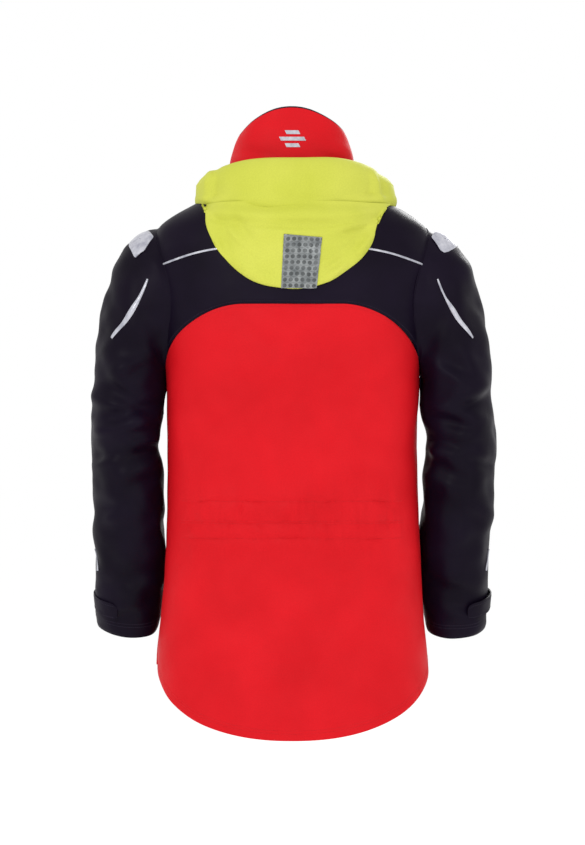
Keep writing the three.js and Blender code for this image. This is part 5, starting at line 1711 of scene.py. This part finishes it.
@dataclass
class FrontClosure:
    """The two-way zip, the storm flap over it and the strips that hold the flap down."""

    wardrobe: Wardrobe
    form: BodyForm = BodyForm()
    flap_half: float = 38.0
    flap_thick: float = 3.0
    standoff: float = 3.6
    flap_below_top: float = 62.0
    base: float = 8.0
    grip_width: float = 20.0
    tooth_pitch: float = 3.2
    teeth_depth: float = 2.8
    slider_width: float = 11.0
    slider_length: float = 15.0
    puller_length: float = 30.0

    def run(self, z: float) -> float:
        """Length along the leaning front edge at a height."""
        return z / math.cos(self.form.front_lean)

    @property
    def zip_ends(self) -> Spot:
        """Where the zip's teeth start and end, along the front edge."""
        return self.run(self.form.hem + 12), self.run(self.form.top - 12)

    def placed(self, points: Array) -> Array:
        """Points across, into and along the front edge, moved to the jacket."""
        return self.form.on_placket(points[..., 0], points[..., 1], points[..., 2])

    def strip(self, across: Array, depth: Array, low: float, high: float, rows: int = 150) -> Cloth:
        """A strip up the front, with a cross-section."""
        run = np.linspace(low, high, rows)[:, None]
        return Cloth(self.form.on_placket(across[None], depth[None], run))

    def flap(self) -> Cloth:
        """The storm flap, softly crowned between its sewn edges."""
        low, high = self.run(self.form.hem + 8), self.run(self.form.top - self.flap_below_top)
        across = np.linspace(-self.flap_half, self.flap_half, 33)
        share = across / self.flap_half
        depth = -self.standoff - self.flap_thick + 1.1 * np.abs(share) ** 10 + 0.5 * np.exp(-(((share + 0.78) / 0.06) ** 2))
        cloth = self.strip(across, depth, low, high, 200)
        return cloth.eased(0.5, 130, 61).eased(0.25, 50, 62)

    def teeth(self, side: Side) -> bpy.types.Object:
        """The moulded teeth of one side, each with a head that locks into the next."""
        low, high = self.zip_ends
        starts = np.arange(low, high - 2, self.tooth_pitch) + (0 if side is Side.LEFT else self.tooth_pitch / 2)
        shape = np.array([(4.2, 0.2, 0.2), (4.2, 2.2, 0.2), (4.2, 2.2, 1.6), (4.2, 0.2, 1.6),
                          (0.9, 0.0, 0.35), (0.9, 2.4, 0.35), (0.9, 2.4, 1.45), (0.9, 0.0, 1.45),
                          (-0.9, 0.4, 0.1), (-0.9, 2.0, 0.1), (-0.9, 2.0, 1.7), (-0.9, 0.4, 1.7)])
        shape[:, 0] *= side.value
        points = shape[None] + np.stack([0 * starts, self.teeth_depth + 0 * starts, starts], 1)[:, None]
        box = [(0, 1, 2, 3), (8, 11, 10, 9)]
        for ring in (0, 4):
            box += [(ring + k, ring + 4 + k, ring + 4 + (k + 1) % 4, ring + (k + 1) % 4) for k in range(4)]
        if side is Side.RIGHT:
            box = [face[::-1] for face in box]
        faces = [[12 * i + k for k in face] for i in range(len(starts)) for face in box]
        return new_object(f"zip_teeth_row_{side.word}", self.placed(points.reshape(-1, 3)), faces,
                          self.wardrobe.acetal)

    def dress(self) -> list[bpy.types.Object]:
        """Builds and hangs the front closure."""
        made, form = [], self.form

        def keep(obj: bpy.types.Object, body: str, *nodes: str) -> None:
            """Hangs a piece on a body in place of its CAD nodes."""
            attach(obj, body)
            if nodes:
                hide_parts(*nodes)
            made.append(obj)

        flap = self.flap()
        keep(sew("storm_flap_cloth", flap, self.flap_thick - 0.5, self.wardrobe.red), "front_flap", "storm_flap")
        as_sheet(made[-1], flap)
        rows, cols = flap.points.shape[:2]
        up = np.linspace(2, rows - 3, 4 * rows)
        lines = [np.stack([up, np.full_like(up, col)], 1) for col in (2.4, 4.6, cols - 3.4)]
        across = np.linspace(2.4, cols - 3.4, 120)
        lines += [np.stack([np.full_like(across, row), across], 1) for row in (1.4, rows - 2.4)]
        keep(Thread().sew("storm_flap_topstitch", rows_at(flap, lines), self.wardrobe.red_thread), "front_flap")

        low, high = self.run(form.hem + 8), self.run(form.top - self.flap_below_top)
        across = np.linspace(self.flap_half + 0.7, self.flap_half + self.base + 7, 14)
        run = np.linspace(low, self.run(form.neck - 2), 150)[:, None]
        wall = self.form.ahead(across[None], run * math.cos(form.front_lean))
        over = form.on_placket(across[None], -self.standoff - self.flap_thick, run)[..., 1]
        share = np.linspace(0, 1, 14)[None]
        points = form.on_placket(across[None], 0, run)
        points[..., 1] = over + (wall - 0.6 - over) * ramp(share, 0.15, 1.0)
        seat = Cloth(points)
        keep(sew("storm_flap_base_cloth", seat, 1.4, self.wardrobe.red), "body", "storm_flap_base")
        up = np.linspace(1, 147, 560)
        keep(Thread().sew("storm_flap_base_topstitch",
                          rows_at(seat, [np.stack([up, np.full_like(up, 11)], 1)]), self.wardrobe.red_thread), "body")

        edge = -self.flap_half + 4
        strip_across = np.linspace(edge, edge + self.grip_width, 8)
        top = self.run(form.neck - 10)
        loops = self.strip(strip_across, np.full(8, -self.standoff + 0.5), low + 10, top)
        keep(sew("storm_flap_grip_loops", loops, -1.2, self.wardrobe.grip), "front_flap", "flap_grip_strip")
        hooks = self.strip(strip_across, np.full(8, -1.7), low + 10, top)
        keep(sew("front_grip_hooks", hooks, 1.2, self.wardrobe.grip), "body", "front_grip_strip")

        for side in Side:
            keep(self.teeth(side), "body", f"zip_teeth_{side.word}")
            start, end = self.zip_ends
            tape_across = np.linspace(4.5, 20.2, 8) if side is Side.LEFT else np.linspace(-20.2, -4.5, 8)
            tape = self.strip(tape_across, np.full(8, 4.6), start - 4, end + 4)
            keep(sew(f"zip_tape_cloth_{side.word}", tape, 0.9, self.wardrobe.tape), "body", f"zip_tape_{side.word}")
        self.zip_ends_and_slider(keep)
        return made

    def zip_ends_and_slider(self, keep: Callable[..., None]) -> None:
        """The bottom box, the slider and its puller."""
        low, high = self.zip_ends
        depth, half = self.teeth_depth, 4.2
        keep(blocks("zip_box_moulding", [
            ((-half, depth - 1, low - 12), (half, depth + 3, low - 0.6)),
            ((-half + 0.8, depth - 1.5, low - 10), (-0.6, depth - 0.6, low - 2.4)),
            ((0.6, depth - 1.5, low - 10), (half - 0.8, depth - 0.6, low - 2.4)),
        ], 0.7, self.placed, self.wardrobe.acetal), "body", "zip_box")
        top, wide = high - 2, self.slider_width / 2
        rear = depth + 3.0
        keep(blocks("zip_slider_moulding", [
            ((-wide, depth - 2.0, top - 9), (wide, depth - 0.6, top)),
            ((-wide + 1.4, depth - 2.0, top - self.slider_length), (wide - 1.4, depth - 0.6, top - 7)),
            ((-half, rear, top - self.slider_length), (half, rear + 1.4, top)),
            ((-0.8, depth - 0.8, top - 6), (0.8, rear + 0.2, top)),
            ((-2.9, -1.6, top - 7), (-1.5, 1.2, top - 1)),
            ((1.5, -1.6, top - 7), (2.9, 1.2, top - 1)),
        ], 0.55, self.placed, self.wardrobe.acetal), "slider", "zip_slider")
        eye = top - 4
        ribs = [((-3.2, -1.9, eye - at), (3.2, -0.9, eye - at + 1.5)) for at in (14, 17.5, 21, 24.5)]
        keep(blocks("zip_puller_moulding", [
            ((-1.2, -1.4, eye - 8), (1.2, 0.2, eye + 1)),
            ((-4, -1.4, eye - self.puller_length), (4, 0.2, eye - 7)), *ribs,
        ], 0.5, self.placed, self.wardrobe.acetal), "puller", "zip_puller")


# ---- Cargo pockets and hanging loop ----------------------------------------


@dataclass
class CargoPocket:
    """A bellows pocket low on the front, with its flap."""

    wardrobe: Wardrobe
    side: Side
    form: BodyForm = BodyForm()
    width: float = 138.0
    height: float = 172.0
    depth: float = 24.0
    wall: float = 2.5
    place: float = 121.0
    above_hem: float = 26.0
    flap_drop: float = 58.0
    flap_thick: float = 2.5
    lap: float = 5.0

    def __post_init__(self) -> None:
        """Works out the pocket's own axes on the left front."""
        z = self.form.hem + self.above_hem + self.height / 2
        turn = -math.acos((self.place / float(self.form.half(z))) ** (self.form.squareness / 2))
        at = self.form.torso(turn, z)
        du = self.form.torso(turn + 1e-3, z) - self.form.torso(turn - 1e-3, z)
        dv = self.form.torso(turn, z + 1e-3) - self.form.torso(turn, z - 1e-3)
        inward = -np.cross(du, dv)
        inward /= np.linalg.norm(inward)
        up = np.array([0, 0, 1.0]) - inward * inward[2]
        up /= np.linalg.norm(up)
        self.axes = np.stack([np.cross(inward, up), inward, up])
        self.origin = at

    def placed(self, points: Array) -> Array:
        """Points across, into and up the pocket, moved to the jacket."""
        return self.origin + np.asarray(points, float) @ self.axes

    def floor(self, across: Array, up: Array) -> Array:
        """Depth of the jacket's front behind places on the pocket."""
        low, high = np.full(across.shape, -30.0), np.full(across.shape, 110.0)
        for _ in range(30):
            middle = (low + high) / 2
            inside = self.form.within(self.placed(np.stack([across, middle, up], -1))) < 0
            low, high = np.where(inside, low, middle), np.where(inside, middle, high)
        return (low + high) / 2

    def bag(self) -> Cloth:
        """The pocket's crowned face and bellows sides."""
        u = np.sin(np.linspace(-1, 1, 57) * QUARTER)[None]
        v = np.sin(np.linspace(-1, 1, 63) * QUARTER)[:, None]
        bulge = ((1 - np.abs(u) ** 9) ** 0.32) * ((1 - np.abs(v) ** 9) ** 0.32)
        across, up = self.width / 2 * u + 0 * v, self.height / 2 * v + 0 * u
        base = self.floor(across, up)
        crown = -self.depth + 1.6 * (u**2 + v**2)
        depth = base - 0.8 + (crown - base) * bulge
        return Cloth(self.placed(np.stack([across, depth, up], -1)))

    def lid(self) -> Cloth:
        """The flap: back to the jacket at the top, over the mouth and down the face."""
        half = self.width / 2 + self.lap
        face = -self.depth - 0.6 - self.flap_thick
        top = self.height / 2 + self.lap + self.flap_thick
        drop = np.array([(-2, top - 0.2), (-8, top), (-15, top), (face + 4, top - 0.1), (face + 1.2, top - 1.4),
                         (face, top - 5), (face, top - 16), (face, top - 28), (face, top - 40), (face, top - 50),
                         (face, top - self.flap_drop - self.flap_thick)], float)
        line = Spline(drop)(np.linspace(0, len(drop) - 1, 44))
        u = np.linspace(-1, 1, 57)
        rounded = np.maximum(0, np.abs(u) - 0.86) / 0.14
        lift = 9 * (1 - np.sqrt(1 - rounded**2 * 0.999))
        share = np.linspace(0, 1, 44)[:, None]
        across = half * u[None] + 0 * share
        depth = line[:, :1] + 0.5 * u[None] ** 2 + 0 * across
        up = line[:, 1:] + lift[None] * ramp(share, 0.5, 1.0)
        return Cloth(self.placed(np.stack([across, depth, up], -1))[::-1])

    def dress(self) -> list[bpy.types.Object]:
        """Builds and hangs the pocket."""
        word = self.side.word
        bag = self.bag().on(self.side).eased(0.9, 70, 71).eased(0.4, 34, 72)
        lid = self.lid().on(self.side).eased(0.35, 60, 73)
        pocket = sew(f"cargo_pocket_cloth_{word}", bag, 1.6, self.wardrobe.red)
        cover = sew(f"pocket_flap_cloth_{word}", lid, 2.0, self.wardrobe.navy)
        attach(pocket, "body")
        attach(cover, f"pocket_lid_{word}")
        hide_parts(f"cargo_pocket_{word}")
        as_sheet(cover, lid)
        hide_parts(f"pocket_flap_{word}")
        rows, cols = bag.points.shape[:2]
        up, over = np.linspace(9, rows - 10, 220), np.linspace(9, cols - 10, 180)
        lines = [np.stack([up, np.full_like(up, col)], 1) for col in (9.0, cols - 10.0)]
        lines += [np.stack([np.full_like(over, 9.0), over], 1)]
        thread = Thread().sew(f"cargo_pocket_topstitch_{word}", rows_at(bag, lines), self.wardrobe.red_thread)
        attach(thread, "body")
        rows, cols = lid.points.shape[:2]
        over = np.linspace(3, cols - 4, 190)
        lines = [np.stack([np.full_like(over, row), over], 1) for row in (5.0, 36.5)]
        seam = Thread().sew(f"pocket_flap_topstitch_{word}", rows_at(lid, lines), self.wardrobe.dark_thread)
        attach(seam, f"pocket_lid_{word}")
        return [pocket, cover, thread, seam]


@dataclass
class InsideTrim:
    """Small pieces inside the jacket: hanging loop, waist elastics and the hood's stiff peak."""

    wardrobe: Wardrobe
    form: BodyForm = BodyForm()
    loop_half: float = 32.0
    loop_low: float = 898.0
    loop_width: float = 10.0
    loop_thick: float = 1.6

    def loop(self) -> Cloth:
        """The hanging loop, bowed forward from the back of the neck."""
        t = np.linspace(0, 1, 49)
        end, middle = 74.03, LOOP_MOUNT[1]
        x = -self.loop_half + 2 * self.loop_half * t
        y = end + 4 * (middle - end) * t * (1 - t) + 2.6 * np.exp(-t / 0.03) + 2.6 * np.exp((t - 1) / 0.03)
        z = self.loop_low + np.linspace(0, self.loop_width, 8)[:, None]
        return Cloth(np.stack([x + 0 * z, y + 0 * z - self.loop_thick, z + 0 * x], -1))

    def band(self, low: float, high: float, depth: float, seed: int) -> Cloth:
        """A gathered strip across the back of the waist."""
        turns = self.form.even_turns(0.6, 2.54, 130, 345)
        z = np.linspace(low, high, 12)[:, None]
        cloth = Cloth(self.form.torso(np.broadcast_to(turns, (12, 130)), z + 0 * turns)).pushed(-depth)
        return cloth.pushed(0.25 * swell(cloth.points, 9, seed))

    def peak(self) -> Cloth:
        """The stiffened peak, folded down inside the hood bag."""
        x = np.linspace(60, -60, 50)[None]
        z = np.linspace(798, 841, 20)[:, None]
        inset = 5.0
        s, w = x / (140 - inset), (847 - z) / (205 - inset)
        y = 60 + (88 - inset) * np.sqrt(1 - s**2 - w**2)
        return Cloth(np.stack([x + 0 * z, y, z + 0 * x], -1))

    def dress(self) -> list[bpy.types.Object]:
        """Builds and hangs them."""
        wardrobe = self.wardrobe
        pieces = [
            (sew("hang_loop_webbing", self.loop(), self.loop_thick, wardrobe.web), "body", "hang_loop"),
            (sew("waist_elastic_cloth_upper", self.band(345.5, 372.5, 3.1, 81), 1.0, wardrobe.web),
             "body", "waist_elastic_upper"),
            (sew("waist_elastic_cloth_lower", self.band(320.5, 338.5, 3.1, 82), 1.0, wardrobe.web),
             "body", "waist_elastic_lower"),
            (sew("waist_casing_cloth", self.band(317, 376, 4.8, 83), 0.8, wardrobe.mesh), "body", "waist_casing"),
            (sew("hood_peak_cloth", self.peak(), 2.6, wardrobe.yellow), "hood", "hood_peak"),
        ]
        for obj, body, node in pieces:
            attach(obj, body)
            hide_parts(node)
        return [piece[0] for piece in pieces]


# ---- Studio ----------------------------------------------------------------


@dataclass
class Studio:
    """Pale floor in a white room, soft light, and a long lens square on to the back."""

    distance: float = 5.2
    width: float = 0.936
    aim: float = -0.401
    floor: float = -1.35
    reach: float = 40.0

    def build(self) -> None:
        """Makes the stage, the lights and the camera."""
        paint = StudioPaint("matt_white_paint", "#FFFFFF", 0.9, 0.0).build()
        reach = self.reach
        mesh = bpy.data.meshes.new("studio_floor")
        mesh.from_pydata([(x, y, self.floor) for x, y in ((-reach, -reach), (reach, -reach), (reach, reach),
                                                          (-reach, reach))], [], [(0, 1, 2, 3)])
        mesh.materials.append(paint)
        stage = bpy.data.objects.new("studio_floor", mesh)
        bpy.context.scene.collection.objects.link(stage)

        scene = bpy.context.scene
        world = bpy.data.worlds.new("studio_air")
        world.use_nodes = True
        world.node_tree.nodes["Background"].inputs["Color"].default_value = (1, 1, 1, 1)
        world.node_tree.nodes["Background"].inputs["Strength"].default_value = 1.0
        scene.world = world
        scene.view_settings.view_transform = "Standard"

        for name, spot, size, power in (
            ("key_softbox", (1.7, 3.6, 1.6), 1.0, 46.0),
            ("fill_softbox", (-1.9, 3.8, 0.1), 1.8, 17.0),
            ("front_softbox", (-1.2, -3.6, 1.5), 1.4, 60.0),
        ):
            light = bpy.data.lights.new(name, "AREA")
            light.size, light.energy = size, power
            lamp = bpy.data.objects.new(name, light)
            lamp.location = spot
            lamp.rotation_euler = (Vector((0, 0, self.aim)) - Vector(spot)).to_track_quat("-Z", "Y").to_euler()
            scene.collection.objects.link(lamp)

        lens = bpy.data.cameras.new("long_lens")
        lens.sensor_fit = "HORIZONTAL"
        lens.sensor_width = 36
        lens.lens = 36 * self.distance / self.width
        camera = bpy.data.objects.new("long_lens", lens)
        camera.location = (0, self.distance, self.aim)
        camera.rotation_euler = (QUARTER, 0, math.pi)
        scene.collection.objects.link(camera)
        scene.camera = camera


def dress_frame(wardrobe: Wardrobe) -> None:
    """Gives every CAD node that still shows its own finish."""
    chosen = {
        "waist": wardrobe.web, "hang": wardrobe.web, "grip": wardrobe.grip, "zip_tape": wardrobe.tape,
        "zip": wardrobe.acetal, "hood": wardrobe.yellow, "pocket_flap": wardrobe.navy,
    }
    for name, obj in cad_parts.items():
        finish = next((value for key, value in chosen.items() if key in name), wardrobe.red)
        obj.data.materials.clear()
        obj.data.materials.append(finish)


def main() -> None:
    """Builds the studio and the jacket, piece by piece."""
    logging.basicConfig(level=logging.INFO, format="%(message)s")
    Studio().build()
    wardrobe = Wardrobe()
    dress_frame(wardrobe)
    parts = [BodyShell(wardrobe), Collar(wardrobe), Hood(wardrobe),
             Sleeve(wardrobe, Side.LEFT), Sleeve(wardrobe, Side.RIGHT), Trim(wardrobe),
             FrontClosure(wardrobe), CargoPocket(wardrobe, Side.LEFT), CargoPocket(wardrobe, Side.RIGHT),
             InsideTrim(wardrobe)]
    for part in parts:
        for piece in part.dress():
            LOG.info("%s: %s", type(part).__name__, piece.name)


if __name__ == "__main__":
    main()
